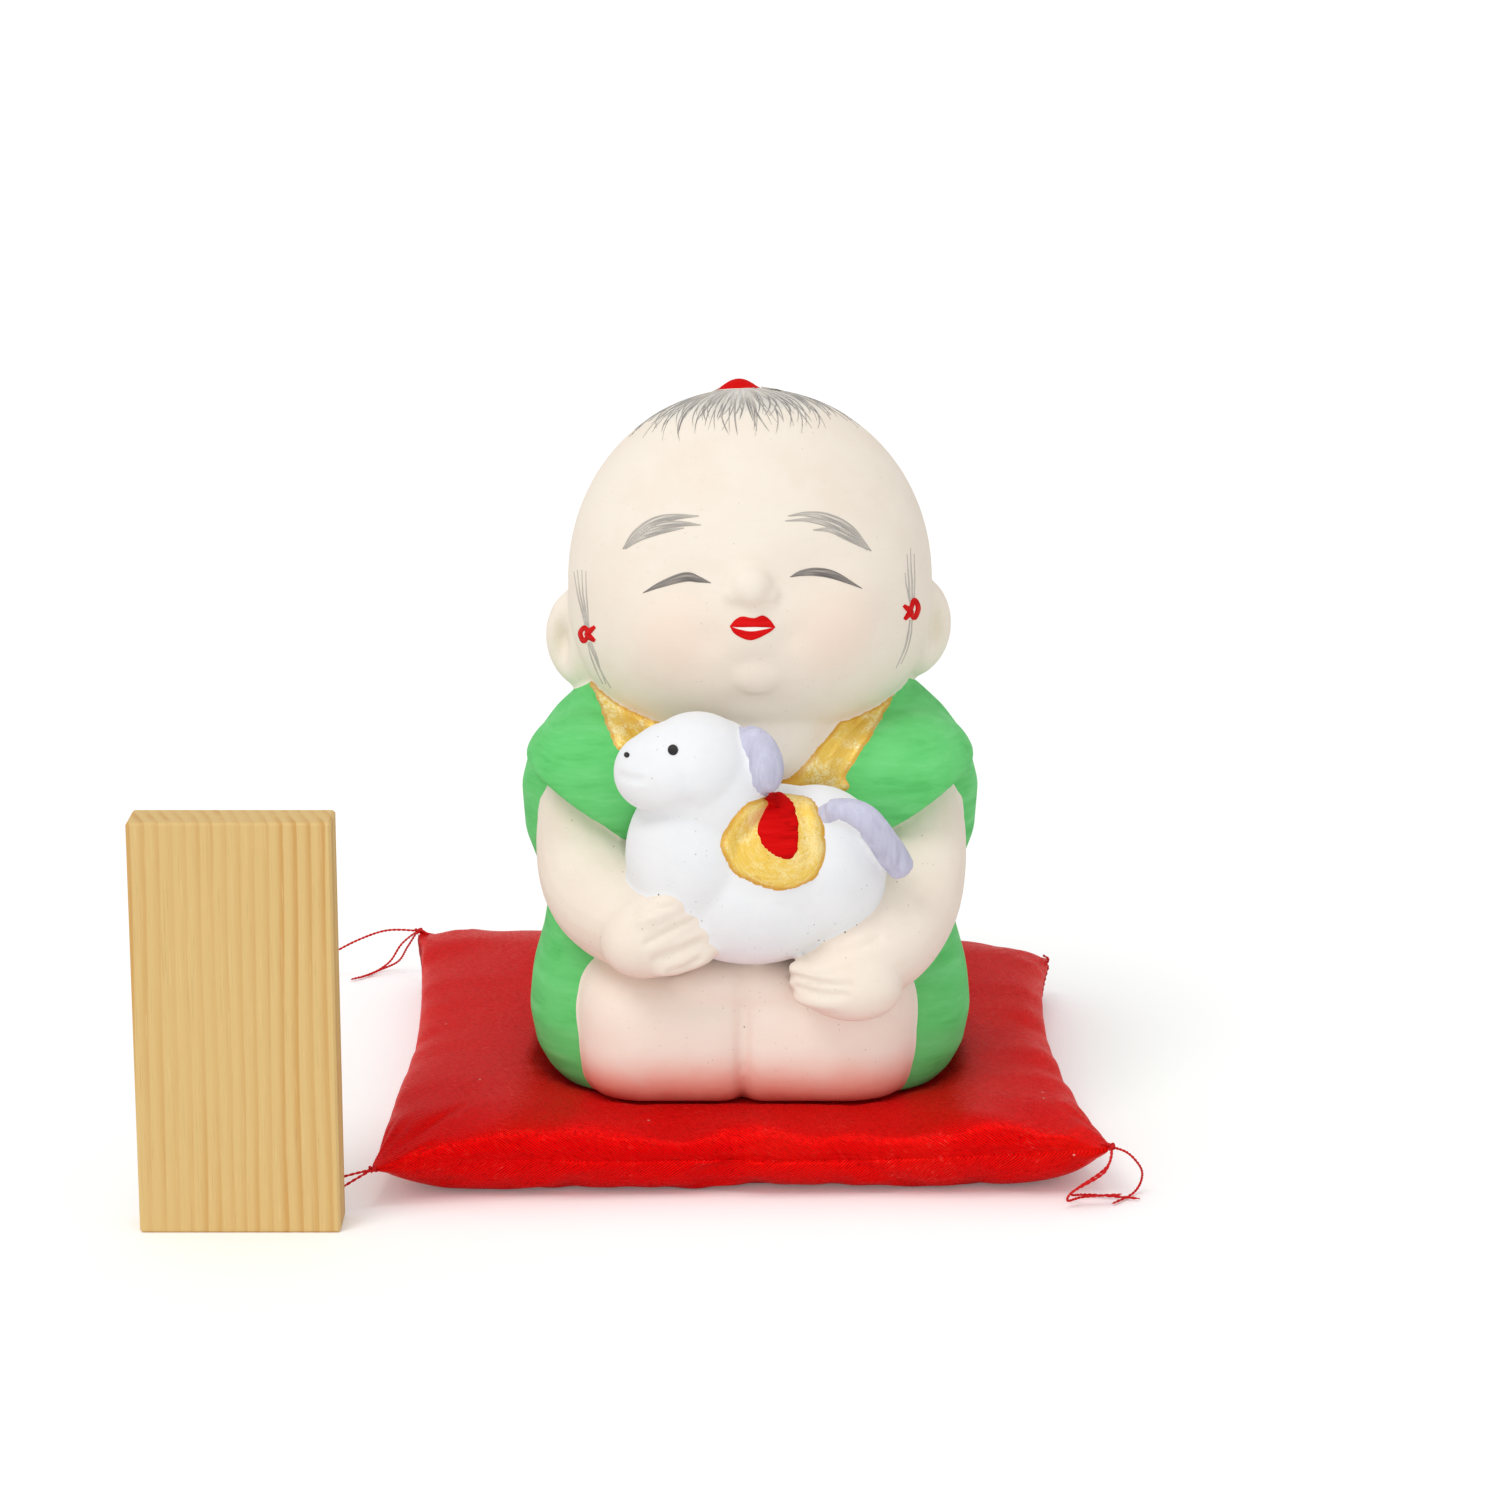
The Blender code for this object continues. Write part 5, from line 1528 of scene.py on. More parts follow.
@dataclass
class Doll:
    """The whole painted doll."""

    arms: tuple[ArmForm, ArmForm] = (
        ArmForm(
            -1,
            Bar(
                ((-0.0190, -0.0030, 0.0400), (-0.0206, -0.0060, 0.0360), (-0.0210, -0.0100, 0.0290),
                 (-0.0192, -0.0170, 0.0250), (-0.0156, -0.0230, 0.0242), (-0.0128, -0.0260, 0.0240)),
                0.0071,
                (0.80, 0.98, 1.00, 0.96, 0.88, 0.80),
            ),
            (-0.0120, -0.0276, 0.0240),
            (0, math.radians(-21), math.radians(14)),
        ),
        ArmForm(
            1,
            Bar(
                ((0.0190, -0.0030, 0.0400), (0.0208, -0.0060, 0.0360), (0.0213, -0.0100, 0.0290),
                 (0.0200, -0.0170, 0.0236), (0.0168, -0.0230, 0.0208), (0.0138, -0.0260, 0.0198),
                 (0.0112, -0.0267, 0.0199), (0.0086, -0.0266, 0.0200)),
                0.0071,
                (0.80, 0.98, 1.00, 0.96, 0.88, 0.80, 0.68, 0.30),
            ),
            (0.0122, -0.0278, 0.0175),
            (0, math.radians(6), math.radians(-14)),
            palm=(0.0070, 0.0050, 0.0047),
            finger=(0.0045, 0.0021, 0.0013),
            fingers=3,
            pitch=0.00150,
            slant=0.00050,
        ),
    )
    grooves: tuple[Groove, ...] = (
        Groove(((621, 776), (630, 779), (641, 780)), 3.5, 0.00035),
        Groove(((640, 819), (662, 815), (688, 806)), 7, 0.00045),
        Groove(((633, 917), (652, 910), (671, 906)), 3.5, 0.00040),
        Groove(((647, 943), (668, 932), (692, 921)), 3.5, 0.00045),
        Groove(((656, 959), (678, 951), (701, 941)), 3.5, 0.00045),
        Groove(((670, 973), (686, 968), (701, 958)), 3.5, 0.00040),
        Groove(((795, 966), (822, 970), (851, 969)), 3.5, 0.00040),
        Groove(((792, 976), (820, 983), (851, 985)), 3.5, 0.00045),
        Groove(((795, 987), (820, 994), (845, 995)), 3.5, 0.00045),
        Groove(((838, 950), (858, 948), (878, 938)), 4.5, 0.00035),
        Groove(((743, 975), (743, 1020), (743, 1060), (743, 1110)), 7, 0.00025),
    )
    mane: tuple[Pixel, ...] = (
        (742, 730), (754, 729), (768, 736), (778, 750), (783, 768), (781, 790), (768, 797), (756, 789), (751, 770),
        (748, 748),
    )
    tail: tuple[Pixel, ...] = (
        (829, 799), (840, 793), (856, 793), (873, 806), (887, 830), (909, 845), (918, 862), (911, 875), (898, 880),
        (884, 864), (863, 835), (842, 818),
    )
    bands: tuple[tuple[Pixel, ...], ...] = (
        ((893, 697), (900, 684), (890, 640), (840, 640), (850, 700), (839, 722), (822, 743), (793, 765), (781, 780),
         (776, 796), (796, 806), (813, 801), (847, 790), (845, 777), (856, 760), (870, 738)),
        ((594, 690), (591, 680), (610, 640), (650, 640), (680, 700), (672, 736), (650, 740), (623, 751), (612, 738),
         (601, 708)),
    )
    band_middle: Pixel = (750, 640)
    band_lift: float = 0.00030
    band_edge: float = 0.0005
    band_back_y: float = DOLL_MIDDLE_Y + 0.0005
    nape_foot: float = FOOT_Z + 0.0452
    nape_front_y: float = 0.0004
    nape_half_width: float = 0.0225
    saddle_cloth: tuple[Pixel, ...] = (
        (764, 797), (744, 806), (730, 823), (721, 847), (733, 870), (750, 881), (768, 888), (786, 889), (812, 879),
        (824, 856), (824, 832), (816, 806), (806, 797), (785, 794),
    )
    saddle_middle: Pixel = (775, 838)
    saddle_seat: tuple[Pixel, ...] = (
        (766, 796), (775, 793), (786, 796), (796, 808), (800, 830), (797, 856), (784, 861), (766, 853), (756, 836),
        (757, 814),
    )

    def build(self) -> None:
        """Fuse the castings, cut the pieces, and paint them."""
        forms = {
            "head": HeadForm(),
            "crown_tie": TieForm(),
            "robe": RobeForm(),
            "left_arm": self.arms[0],
            "right_arm": self.arms[1],
            "left_leg": LEGS[0],
            "right_leg": LEGS[1],
            "horse": HorseForm(),
        }
        skin = CastingSkin(forms, self.grooves)
        skin.build()
        flesh = ClayFinish(
            "clay_flesh_wash", linear(240, 230, 216), linear(236, 223, 208),
            dabs=(
                (from_foot(-0.0090, -0.0205, 0.0600), linear(241, 219, 202), 0.0090),
                (from_foot(0.0104, -0.0200, 0.0610), linear(241, 219, 202), 0.0090),
                # A painted highlight: lighter flesh on the chest under the chin, where shade falls. The two dabs above
                # tint the cheeks pink.
                (from_foot(0.0010, -0.0150, 0.0440), linear(252, 247, 238), 0.0100),
            ),
        ).dress()
        arm = ClayFinish("clay_flesh_arm", linear(240, 228, 214), linear(236, 221, 206), 0.9).dress()
        # The legs' flesh is a lighter copy of the head's, painted light against the shade that the horse casts on the
        # lap.
        blushed = ClayFinish(
            "clay_flesh_blush", linear(246, 233, 221), linear(243, 228, 214), 0.5, linear(235, 156, 136)
        ).dress()
        white = ClayFinish("clay_white_wash", linear(237, 238, 240), linear(230, 232, 234), 0.9).dress()
        green = PaintFinish(
            "paint_green_brushed", linear(98, 202, 112), linear(112, 210, 126), linear(86, 190, 100),
            streak=(120, 120, 620), turn=(0.3, 0.9, 0.4),
        ).dress()
        red = PaintFinish(
            "paint_red_thick", linear(208, 2, 3), linear(216, 10, 8), linear(176, 1, 2), specular=0.08
        ).dress()
        for name, material, slot in (
            ("head", flesh, Slot.FLESH),
            ("crown_tie", red, Slot.RED),
            ("robe", green, Slot.GREEN),
            ("left_arm", arm, Slot.FLESH),
            ("right_arm", arm, Slot.FLESH),
            ("left_leg", blushed, Slot.FLESH),
            ("right_leg", blushed, Slot.FLESH),
            ("horse", white, Slot.WHITE),
        ):
            skin.casting(name, material)
        self._mane_and_tail(skin)
        self._collar(skin)
        self._saddle(skin, red)
        painter = MarkPainter(skin)
        Hair(painter).build()
        Face(painter).build()
        HorseFace(painter).build()

    def _mane_and_tail(self, skin: CastingSkin) -> None:
        """Paint the horse's mane and tail."""
        horse = HorseForm()
        lilac = PaintFinish(
            "paint_lilac_brushed", linear(193, 192, 212), linear(206, 206, 226), linear(181, 179, 200),
            streak=(900, 900, 160), turn=(0, -0.5, 0), roughness=0.85, specular=0.2,
        ).dress()
        for patch in (
            PaintedPatch("mane", "horse_mane", self.mane, Slot.LILAC, 0.00022, 11, on=("horse",), spine=horse.mane),
            PaintedPatch("tail", "horse_tail", self.tail, Slot.LILAC, 0.00025, 11, spine=horse.tail),
        ):
            skin.patch(patch, lilac)

    def _collar(self, skin: CastingSkin) -> None:
        """Paint the gold band along the neckline and round the nape."""
        gold = GoldFinish("paint_gold_collar", streak=(260, 900, 1)).dress()
        x, y, z = skin.points.T
        away = np.hypot(*(skin.seen - np.array(self.band_middle)).T) / PX_PER_M
        uv = np.column_stack((np.abs(x) + z * 0.6, away))
        front = np.maximum(*(skin.seen_depth(outline, 90) for outline in self.bands)) + skin.waver(21)
        front = np.minimum(np.minimum(front, self.band_back_y - y), skin.torso)
        nape = np.minimum(z - self.nape_foot, y - self.nape_front_y)
        nape = np.minimum(nape, self.nape_half_width - np.abs(x))
        nape = np.minimum(nape, skin.lead(["robe"]) + skin.overlap) + skin.waver(22)
        for node, inside in (("collar_front", front), ("collar_nape", nape)):
            skin.raised(node + "_band", node, inside, self.band_lift, self.band_edge, gold, Slot.GOLD, uv)

    def _saddle(self, skin: CastingSkin, red: Material) -> None:
        """Paint the saddle's gold cloth, brushed round in rings, and its red seat."""
        gold = GoldFinish("paint_gold_saddle", streak=(1.6, 3600, 1), bright=0.45).dress()
        offset = (skin.seen - np.array(self.saddle_middle)) / PX_PER_M
        rings = np.column_stack((np.arctan2(*offset.T), np.hypot(offset[:, 0], offset[:, 1] * 0.9)))
        on = ("horse",)
        cloth = PaintedPatch(
            "saddle_cloth_gold", "saddle_cloth", self.saddle_cloth, Slot.GOLD, 0.00060, 24, edge=0.0008, on=on
        )
        seat = PaintedPatch(
            "saddle_seat_red", "saddle_seat", self.saddle_seat, Slot.RED, 0.00085, 22, edge=0.0006, on=on
        )
        skin.patch(cloth, gold, rings)
        skin.patch(seat, red)


@dataclass
class Cushion:
    """The square satin cushion: two panels sewn together, swollen by the wadding and pressed down by the doll."""

    seam_height: float = 0.0050
    front_lift: float = 0.0002
    crown: float = 0.0066
    side_draw: tuple[float, float, float] = (0.0034, 0.0044, 0.0026)
    side_bulge: float = 0.0020
    fold_power: float = 4.5
    fold_seed: int = 5
    folds_per_side: int = 9
    fold_reach: float = 0.22
    fold_start: float = 0.02
    fold_height: float = 0.00013
    roll_place: float = -0.90
    roll_width: float = 0.09
    roll_waves: tuple[tuple[float, float, float], ...] = ((0.00045, 11.6, 0.8), (0.00030, 19, 2.0))
    corner_fold_height: float = 0.00030
    half_seam: float = 0.00015
    lower_swell: float = 0.0005
    corner_power: float = 0.5
    dent: tuple[float, float, float] = (0.0230, -0.0300, 0.0190)
    dent_power: float = 3.5
    dent_slope: float = 0.0110
    sag: float = 0.0025
    gap: float = 0.0003
    feeler: float = 0.0010
    cells: int = 86
    crowding: float = math.pi / 2 * 0.98
    corner_reach: float = 6.0
    corner_taper: float = 0.75
    seam_gap: float = 0.0004
    seam_depth: float = 0.0006
    seam_reach: float = 0.00045
    slack: float = 0.012
    cap: float = 0.0006
    table_grip: float = 0.0003
    doll_grip: float = 0.0006
    corner_grip: float = 0.003
    seam_grip: float = 0.0010
    frames: int = 20
    cloth_scale: float = 20

    def plan(self, across: Array, along: Array, bulge: Array) -> Array:
        """Points of the seam's level, across and along from -1 to 1."""
        corner = {name: np.array(place) for name, place in CORNERS.items()}
        east, north = ((1 + across) / 2)[:, None], ((1 + along) / 2)[:, None]
        front_row = corner["front_left"] * (1 - east) + corner["front_right"] * east
        back_row = corner["back_left"] * (1 - east) + corner["back_right"] * east
        points = front_row * (1 - north) + back_row * north
        left, right, ends = self.side_draw
        points[:, 0] -= across * (np.where(across < 0, left, right) * (1 - along**2) - bulge)
        points[:, 1] -= along * (ends * (1 - across**2) - bulge)
        points[:, 2] = self.seam_height + (points[:, 2] - self.seam_height) * (across * along) ** 4
        points[:, 2] += self.front_lift * (1 - across**4) * np.clip(-along, 0, 1) ** 4
        return points

    def swell(self, across: Array, along: Array) -> Array:
        """How full the cushion is, from 0 at the seam to 1 inside."""
        inner = (1 - np.abs(across) ** self.fold_power) * (1 - np.abs(along) ** self.fold_power)
        taper = 1 - self.corner_taper * np.abs(across * along) ** self.corner_reach
        return np.maximum(inner, 0) ** self.corner_power * taper

    def pressed(self, x: Array, y: Array) -> Array:
        """How far the doll presses the cushion down: 1 below it, 0 clear of it."""
        half_width, front, back = self.dent
        middle, half_depth = (front + back) / 2, (back - front) / 2
        powers = np.abs(x / half_width) ** self.dent_power + np.abs((y - middle) / half_depth) ** self.dent_power
        beyond = (powers ** (1 / self.dent_power) - 1) * half_width / self.dent_slope
        return bell(np.maximum(beyond, 0))

    def underside(self, points: Array) -> Array:
        """The lowest height of the doll within a feeler's reach of each point in plan, or infinity beside it."""
        count = 8
        turns = np.arange(count) * math.tau / count
        feelers = [(0.0, 0.0), *(self.feeler * np.column_stack((np.cos(turns), np.sin(turns))))]
        found = np.full(len(points), np.inf)
        for form in (RobeForm(), *LEGS):
            shape = form.build()
            tree = BVHTree.FromBMesh(shape)
            corners = np.array([vertex.co for vertex in shape.verts])
            shape.free()
            low, high = corners.min(axis=0) - self.feeler, corners.max(axis=0) + self.feeler
            near = np.all((points[:, :2] > low[:2]) & (points[:, :2] < high[:2]), axis=1)
            for index in np.flatnonzero(near):
                x, y = points[index, :2]
                for right, back in feelers:
                    where = tree.ray_cast(Vector((x + right, y + back, BELOW_TABLE)), Vector((0, 0, 1)))[0]
                    if where is not None:
                        found[index] = min(found[index], where.z)
        return found

    def folds(self, across: Array, along: Array) -> Array:
        """The height of the soft ripples that run in from the side seams and the corners."""
        total = np.zeros(len(across))
        dice = np.random.default_rng(self.fold_seed)
        for edge, run, sign in ((along, across, -1), (along, across, 1), (across, along, -1), (across, along, 1)):
            reach = 1 - sign * edge
            fade = bell(reach / self.fold_reach) * np.clip(reach / self.fold_start, 0, 1)
            for _ in range(self.folds_per_side):
                wave, shift = dice.uniform(7, 40), dice.uniform(0, math.tau)
                total += fade * np.sin(wave * run + shift + 2.2 * reach) * self.fold_height * (18 / (wave + 8))
        roll = bell((along - self.roll_place) / self.roll_width) * (1 - across**4)
        for height, wave, shift in self.roll_waves:
            total += roll * (height * np.sin(wave * across + shift))
        corner = np.abs(across * along) ** 5
        total += corner * np.sin(30 * (across - along) * np.sign(across * along)) * self.corner_fold_height
        return total

    def skins(self, across: Array, along: Array, upper: bool) -> Array:
        """Points of the cushion's upper or lower side."""
        swell = self.swell(across, along)
        points = self.plan(across, along, (4 if upper else 1.6) * self.side_bulge * swell * (1 - swell))
        fold = self.folds(across, along)
        if upper:
            free = points[:, 2] + self.half_seam + self.crown * swell + fold * np.minimum(1, 3 * swell)
            free -= self.sag * self.pressed(points[:, 0], points[:, 1])
            points[:, 2] = np.minimum(free, self.underside(points) - self.gap)
        else:
            flatness = (1 - swell) ** 2
            skin = (points[:, 2] - self.half_seam) * flatness - self.lower_swell * swell + 0.5 * fold * flatness
            points[:, 2] = np.maximum(0, skin)
        return points

    def weave_places(self, flat: Array, points: Array) -> Array:
        """Where each point of a panel lies in its cloth, in metres along the threads from the panel's middle."""
        steps = np.rint((flat + 1) / 2 * self.cells).astype(int)
        grid = np.zeros((self.cells + 1, self.cells + 1, 3))
        grid[steps[:, 0], steps[:, 1]] = points
        places = []
        for axis in (0, 1):
            run = np.cumsum(np.linalg.norm(np.diff(grid, axis=axis), axis=2), axis=axis)
            run = np.insert(run, 0, 0, axis=axis)
            full = np.take(run, [-1], axis=axis)
            run = (run / full - 0.5) * full.mean()
            places.append(run[steps[:, 0], steps[:, 1]])
        return np.column_stack(places)

    def build(self) -> None:
        """Make the cushion, let its cloth billow and pucker, and hand it over."""
        shape = bmesh.new()
        bmesh.ops.create_grid(shape, x_segments=self.cells, y_segments=self.cells, size=1)
        below = list(shape.verts)
        uv_layer = shape.loops.layers.uv.new("UVMap")
        raised = bmesh.ops.extrude_face_region(shape, geom=list(shape.faces))
        above = [item for item in raised["geom"] if isinstance(item, bmesh.types.BMVert)]
        for verts, upper in ((below, False), (above, True)):
            flat = np.array([vertex.co[:2] for vertex in verts])
            crowded = np.sin(flat * self.crowding) / math.sin(self.crowding)
            points = self.skins(crowded[:, 0], crowded[:, 1], upper)
            for vertex, point, thread in zip(verts, points, self.weave_places(flat, points)):
                for loop in vertex.link_loops:
                    loop[uv_layer].uv = thread
                vertex.co = point
        bmesh.ops.recalc_face_normals(shape, faces=shape.faces)
        pad = new_piece("satin_cushion", shape, SatinFinish().dress())
        self._billow(pad)
        finer = pad.modifiers.new("finer", "SUBSURF")
        finer.levels = finer.render_levels = 1
        hand_over(
            pad, Body.CUSHION, ["cushion_cover_top", "cushion_cover_bottom", "cushion_wadding"]
        )

    def seam_line(self, points: Array) -> Array:
        """The points of the seam, where both panels meet."""
        half = len(points) // 2
        return points[:half][np.linalg.norm(points[:half] - points[half:], axis=1) < self.seam_gap]

    def distance_to_seam(self, points: Array, seam: Array) -> Array:
        """How far each point lies from the seam."""
        tree = KDTree(len(seam))
        for index, point in enumerate(seam):
            tree.insert(point, index)
        tree.balance()
        return np.array([tree.find(point)[2] for point in points])

    def _billow(self, pad: Piece) -> None:
        """Blow the cover up a little as cloth with some slack, held where the doll and the table press it.

        Args:
            pad: the cushion, whose mesh takes the result.
        """
        start = places_of(pad.data)
        cloth_mesh = pad.data.copy()
        cloth_mesh.vertices.foreach_set("co", (start * self.cloth_scale).ravel())
        cover = bpy.data.objects.new("cover", cloth_mesh)
        bpy.context.scene.collection.objects.link(cover)
        seam = self.seam_line(start)
        off_seam = self.distance_to_seam(start, seam)
        hold = cover.vertex_groups.new(name="hold")
        for index, weight in enumerate(self._grip(start, off_seam)):
            hold.add([index], float(weight), "REPLACE")
        self._weave(cover)
        for frame_number in range(1, self.frames + 1):
            bpy.context.scene.frame_set(frame_number)
        result = cover.evaluated_get(bpy.context.evaluated_depsgraph_get()).to_mesh()
        shift = places_of(result) / self.cloth_scale - start
        far = np.linalg.norm(shift, axis=1)
        shift *= np.minimum(1, self.cap / np.maximum(far, TINY))[:, None]
        settled = start + shift
        near = bell(off_seam / self.seam_reach)
        inward = -settled[:, :2] / np.linalg.norm(settled[:, :2], axis=1)[:, None]
        settled[:, :2] += inward * (self.seam_depth * near)[:, None]
        settled[:, 2] = np.clip(settled[:, 2], 0, self.underside(settled) - self.gap)
        pad.data.vertices.foreach_set("co", settled.ravel())
        pad.data.update()
        bpy.data.objects.remove(cover)
        bpy.context.scene.frame_set(1)
        log.info("cushion cloth: moved %.2f mm at most, %.2f mm on average", 1000 * far.max(), 1000 * far.mean())

    def _grip(self, start: Array, off_seam: Array) -> Array:
        """How firmly each point is held: fully by the table, the doll, the corners and the seam."""
        under = self.underside(start) - self.gap
        by_doll = np.clip(1 - (under - start[:, 2]) / self.doll_grip, 0, 1)
        grip = np.where(start[:, 2] < self.table_grip, 1.0, by_doll)
        corners = np.array(list(CORNERS.values()))
        away = np.min(np.hypot(*(start[:, None, :2] - corners[None, :, :2]).transpose(2, 0, 1)), axis=1)
        grip = np.clip(np.maximum(grip, 1.4 - away / self.corner_grip), 0, 1)
        return np.maximum(grip, bell(off_seam / self.seam_grip))

    def _weave(self, cover: Piece) -> None:
        """Make the cover a light cloth that air presses outwards."""
        billow = cover.modifiers.new("billow", "CLOTH")
        cloth = billow.settings
        cloth.quality = 6
        cloth.mass = 0.3
        cloth.tension_stiffness = cloth.compression_stiffness = 15
        cloth.shear_stiffness = 5
        cloth.bending_stiffness = 0.3
        cloth.use_pressure = True
        cloth.uniform_pressure_force = 4
        cloth.shrink_min = -self.slack
        cloth.effector_weights.gravity = 0
        cloth.vertex_group_mass = "hold"
        billow.collision_settings.use_collision = False
        billow.point_cache.frame_end = self.frames


@dataclass(frozen=True)
class LooseEnds:
    """The loose ends of thread at one corner of the cushion, each from its knot outwards."""

    corner: str
    strands: tuple[tuple[Place, ...], ...]


@dataclass
class Threads:
    """The red sewing thread: loose ends tied at three corners of the cushion, side stitches and a hem."""

    ply_radius: float = 0.00010
    ply_offset: float = 0.00009
    pitch: float = 0.0011
    turns_per_step: int = 7
    tip_shares: tuple[float, ...] = (0.95, 0.85, 0.65, 0.35)
    ends: tuple[LooseEnds, ...] = (
        LooseEnds(
            "front_left",
            (
                ((-0.0513, -0.0463, 0.0043), (-0.0550, -0.0456, 0.0026), (-0.0585, -0.0446, 0.0009),
                 (-0.0615, -0.0436, 0.0004)),
                ((-0.0506, -0.0464, 0.0032), (-0.0534, -0.0463, 0.0012), (-0.0565, -0.0460, 0.0004),
                 (-0.0605, -0.0462, 0.0004)),
            ),
        ),
        LooseEnds(
            "front_right",
            (
                ((0.0472, -0.0425, 0.0063), (0.0490, -0.0410, 0.0038), (0.0492, -0.0396, 0.0016),
                 (0.0480, -0.0410, 0.0004), (0.0452, -0.0446, 0.0004)),
                ((0.0444, -0.0450, 0.0054), (0.0410, -0.0452, 0.0028), (0.0402, -0.0430, 0.0010),
                 (0.0427, -0.0414, 0.0004), (0.0488, -0.0428, 0.0004)),
                ((0.0440, -0.0464, 0.0052), (0.0402, -0.0462, 0.0026), (0.0396, -0.0452, 0.0010),
                 (0.0416, -0.0444, 0.0012), (0.0464, -0.0440, 0.0014)),
            ),
        ),
        LooseEnds(
            "back_left",
            (
                ((-0.0530, 0.0524, 0.0073), (-0.0570, 0.0528, 0.0059), (-0.0610, 0.0529, 0.0038),
                 (-0.0650, 0.0526, 0.0014), (-0.0675, 0.0520, 0.0004)),
                ((-0.0502, 0.0532, 0.0046), (-0.0518, 0.0558, 0.0016), (-0.0544, 0.0554, 0.0004),
                 (-0.0572, 0.0512, 0.0004)),
                ((-0.0510, 0.0526, 0.0052), (-0.0530, 0.0540, 0.0020), (-0.0556, 0.0530, 0.0005),
                 (-0.0584, 0.0504, 0.0004)),
            ),
        ),
    )
    knot_in: float = 0.0005
    knot_size: float = 0.00055
    root_in: float = 0.0025
    stitches: int = 17
    stitch_span: tuple[float, float] = (0.10, 0.95)
    hem_span: tuple[float, float] = (0.02, 0.97)
    hem_points: int = 40
    hem_radius: float = 0.00034
    hem_shift: Place = (0.0002, 0, 0.0001)

    def twist(self, shape: Shape, line: Sequence[Sequence[float]], phase: float = 0) -> None:
        """Add a two ply thread along a smooth line, tapering out at its far end."""
        length = float(np.sum(np.linalg.norm(np.diff(smooth_line(line, 60), axis=0), axis=1)))
        count = max(12, int(length / self.pitch * self.turns_per_step))
        middle = smooth_line(line, count)
        ahead = np.gradient(middle, axis=0)
        ahead /= np.linalg.norm(ahead, axis=1)[:, None]
        side = np.cross(ahead, (0.13, 0.21, 0.97))
        side /= np.linalg.norm(side, axis=1)[:, None]
        up = np.cross(side, ahead)
        turn = phase + np.arange(count) * math.tau / self.turns_per_step
        floor = self.ply_radius + self.ply_offset
        for ply in (0, math.pi):
            wave = np.cos(turn + ply)[:, None] * side + np.sin(turn + ply)[:, None] * up
            path = middle + self.ply_offset * wave
            path[:, 2] = np.maximum(path[:, 2], floor + self.ply_offset * (wave[:, 2] - 1))
            shares = np.ones(count)
            shares[-len(self.tip_shares):] = self.tip_shares
            add_tube(shape, [Vector(point) for point in path], self.ply_radius, shares, 2, 1)

    def knot(self, shape: Shape, middle: Vector, size: float) -> None:
        """Add a small overhand knot."""
        turns = np.linspace(0, math.tau, 26)
        path = np.column_stack((
            np.sin(turns) + 2 * np.sin(2 * turns),
            np.cos(turns) - 2 * np.cos(2 * turns),
            -np.sin(3 * turns) * 1.5,
        )) * size / 3 + np.array(middle)
        self.twist(shape, path.tolist(), 0.4)

    def build(self) -> None:
        """Make the corner threads and the side's stitches."""
        finish = ThreadFinish().dress()
        for number, ends in enumerate(self.ends):
            shape = bmesh.new()
            place = Vector(CORNERS[ends.corner])
            outward = Vector((place.x, place.y, 0)).normalized()
            middle = place - outward * self.knot_in
            self.knot(shape, middle, self.knot_size)
            root = place - outward * self.root_in
            for index, strand in enumerate(ends.strands):
                self.twist(shape, [root, middle, *map(Vector, strand)], index + number)
            node = "threads_" + ends.corner
            hand_over(new_piece(node + "_twist", shape, finish), Body.CUSHION, [node])
        self._stitch(finish)
        self._hem()

    def _stitch(self, finish: Material) -> None:
        """Close the right side with slanted stitches."""
        shape = bmesh.new()
        along = np.linspace(*self.stitch_span, self.stitches)
        for x, y, z in Cushion().plan(np.ones(self.stitches), along, np.zeros(self.stitches)):
            line = ((x - 0.0008, y - 0.0004, z + 0.0014), (x, y - 0.0002, z + 0.0008), (x - 0.0002, y, z),
                    (x, y + 0.0002, z - 0.0008), (x - 0.0008, y + 0.0004, z - 0.0014))
            self.twist(shape, line, 20 * y)
        hand_over(new_piece("side_stitches", shape, finish), Body.CUSHION)

    def _hem(self) -> None:
        """Roll a narrow hem along the left side."""
        shape = bmesh.new()
        along = np.linspace(*self.hem_span, self.hem_points)
        line = Cushion().plan(-np.ones(len(along)), along, np.zeros(len(along))) + np.array(self.hem_shift)
        wave = 1 + 0.12 * np.sin(along * 90) + 0.08 * np.sin(along * 37 + 1)
        wave[0] = wave[-1] = 0.3
        add_tube(shape, [Vector(point) for point in line], self.hem_radius, wave, 2, 3)
        dark = ThreadFinish("thread_hem", linear(150, 3, 7), linear(196, 16, 20)).dress()
        hand_over(new_piece("side_hem", shape, dark), Body.CUSHION)


@dataclass(frozen=True)
class Lamp:
    """A soft far lamp, with its angles in degrees."""

    name: str
    strength: float
    angle: float
    turn: Place

    def build(self) -> None:
        """Hang the lamp."""
        lamp = bpy.data.lights.new(self.name, "SUN")
        lamp.energy = self.strength
        lamp.angle = math.radians(self.angle)
        made = bpy.data.objects.new(self.name, lamp)
        made.rotation_euler = [math.radians(turn) for turn in self.turn]
        bpy.context.scene.collection.objects.link(made)


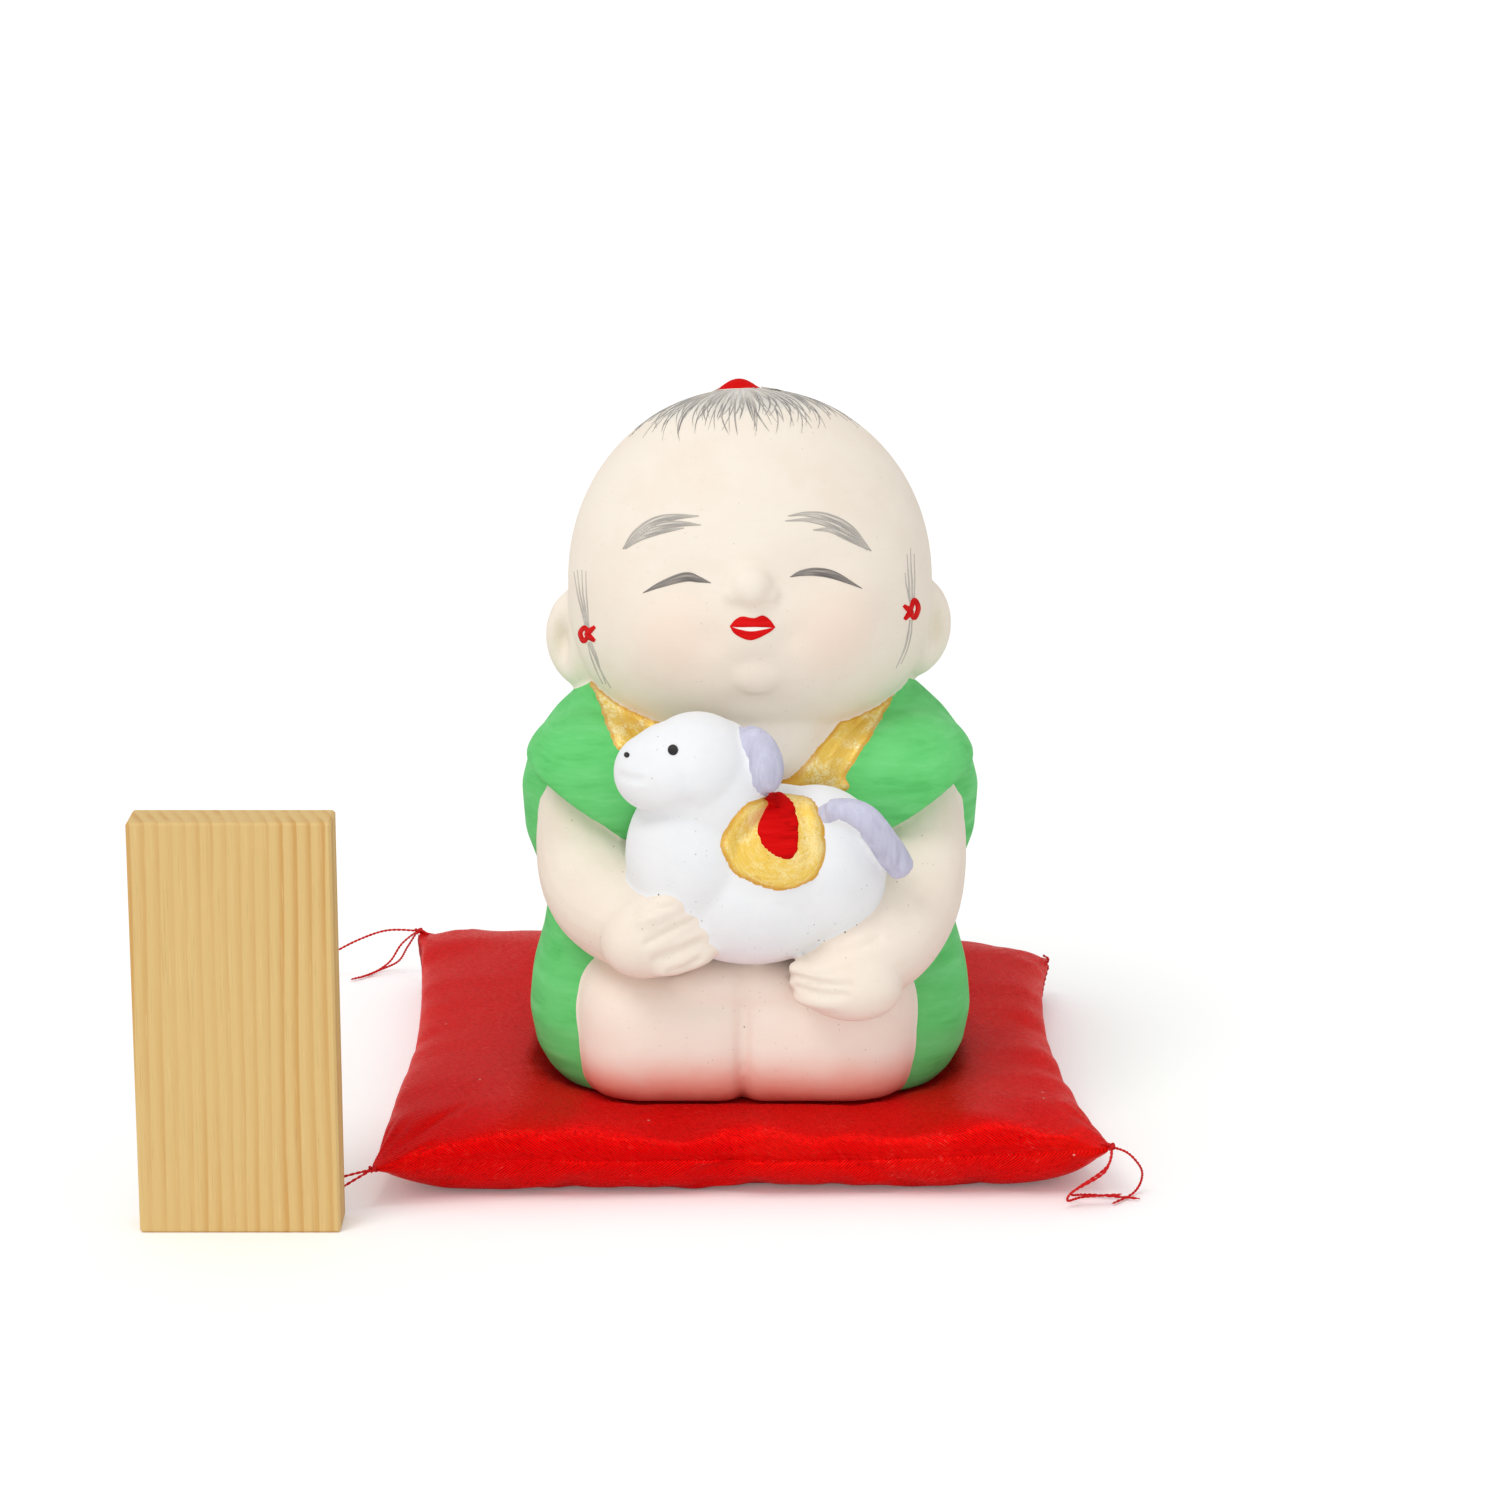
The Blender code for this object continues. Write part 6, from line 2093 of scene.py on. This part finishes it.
@dataclass
class Studio:
    """The white floor, the lamps and the white surround."""

    surround: float = 0.68
    floor_half_width: float = 4
    floor_glow: float = 0.10
    lamps: tuple[Lamp, ...] = (
        Lamp("key_light", 0.78, 25, (35, 0, -40)),
        Lamp("fill_light", 0.50, 60, (76, 0, -12)),
        Lamp("top_light", 0.26, 12, (8, 0, 0)),
    )

    def build(self) -> None:
        """Set up the studio."""
        bpy.context.scene.view_settings.view_transform = "Standard"
        self._world()
        self._floor()
        for lamp in self.lamps:
            lamp.build()

    def _world(self) -> None:
        """A white surround that the camera sees at full white and that lights the pieces less brightly."""
        world = bpy.data.worlds.new("white_surround")
        bpy.context.scene.world = world
        world.use_nodes = True
        tree = world.node_tree
        paths = tree.nodes.new("ShaderNodeLightPath")
        seen = tree.nodes.new("ShaderNodeMapRange")
        seen.inputs[3].default_value = self.surround
        seen.inputs[4].default_value = 1
        tree.links.new(paths.outputs["Is Camera Ray"], seen.inputs[0])
        background = tree.nodes["Background"]
        background.inputs[0].default_value = (1, 1, 1, 1)
        tree.links.new(seen.outputs[0], background.inputs[1])

    def _floor(self) -> None:
        """A wide white floor that shows the shadow and glows a little in the camera's view."""
        shape = bmesh.new()
        bmesh.ops.create_grid(shape, x_segments=2, y_segments=2, size=self.floor_half_width)
        sheet = NodeSheet("floor_white")
        paths = sheet.add("LightPath")
        seen = sheet.spread(paths.outputs["Is Camera Ray"], 0, 1, 0, self.floor_glow)
        material = sheet.shade(
            Base_Color=linear(250, 250, 250), Roughness=0.9, Specular_IOR_Level=0.1,
            Emission_Color=(1, 1, 1, 1), Emission_Strength=seen,
        )
        new_piece("floor", shape, material)


def dress_tablet() -> None:
    """Give the tablet its cedar."""
    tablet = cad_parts["name_tablet"]
    cedar = CedarFinish().dress()
    for slot in tablet.material_slots:
        slot.material = cedar
    log.info("name_tablet: dressed in cedar")


def main() -> None:
    """Build the studio and every piece."""
    logging.basicConfig(level=logging.INFO, format="%(message)s")
    CAMERA.build()
    Studio().build()
    Doll().build()
    Cushion().build()
    Threads().build()
    dress_tablet()


if __name__ == "__main__":
    main()
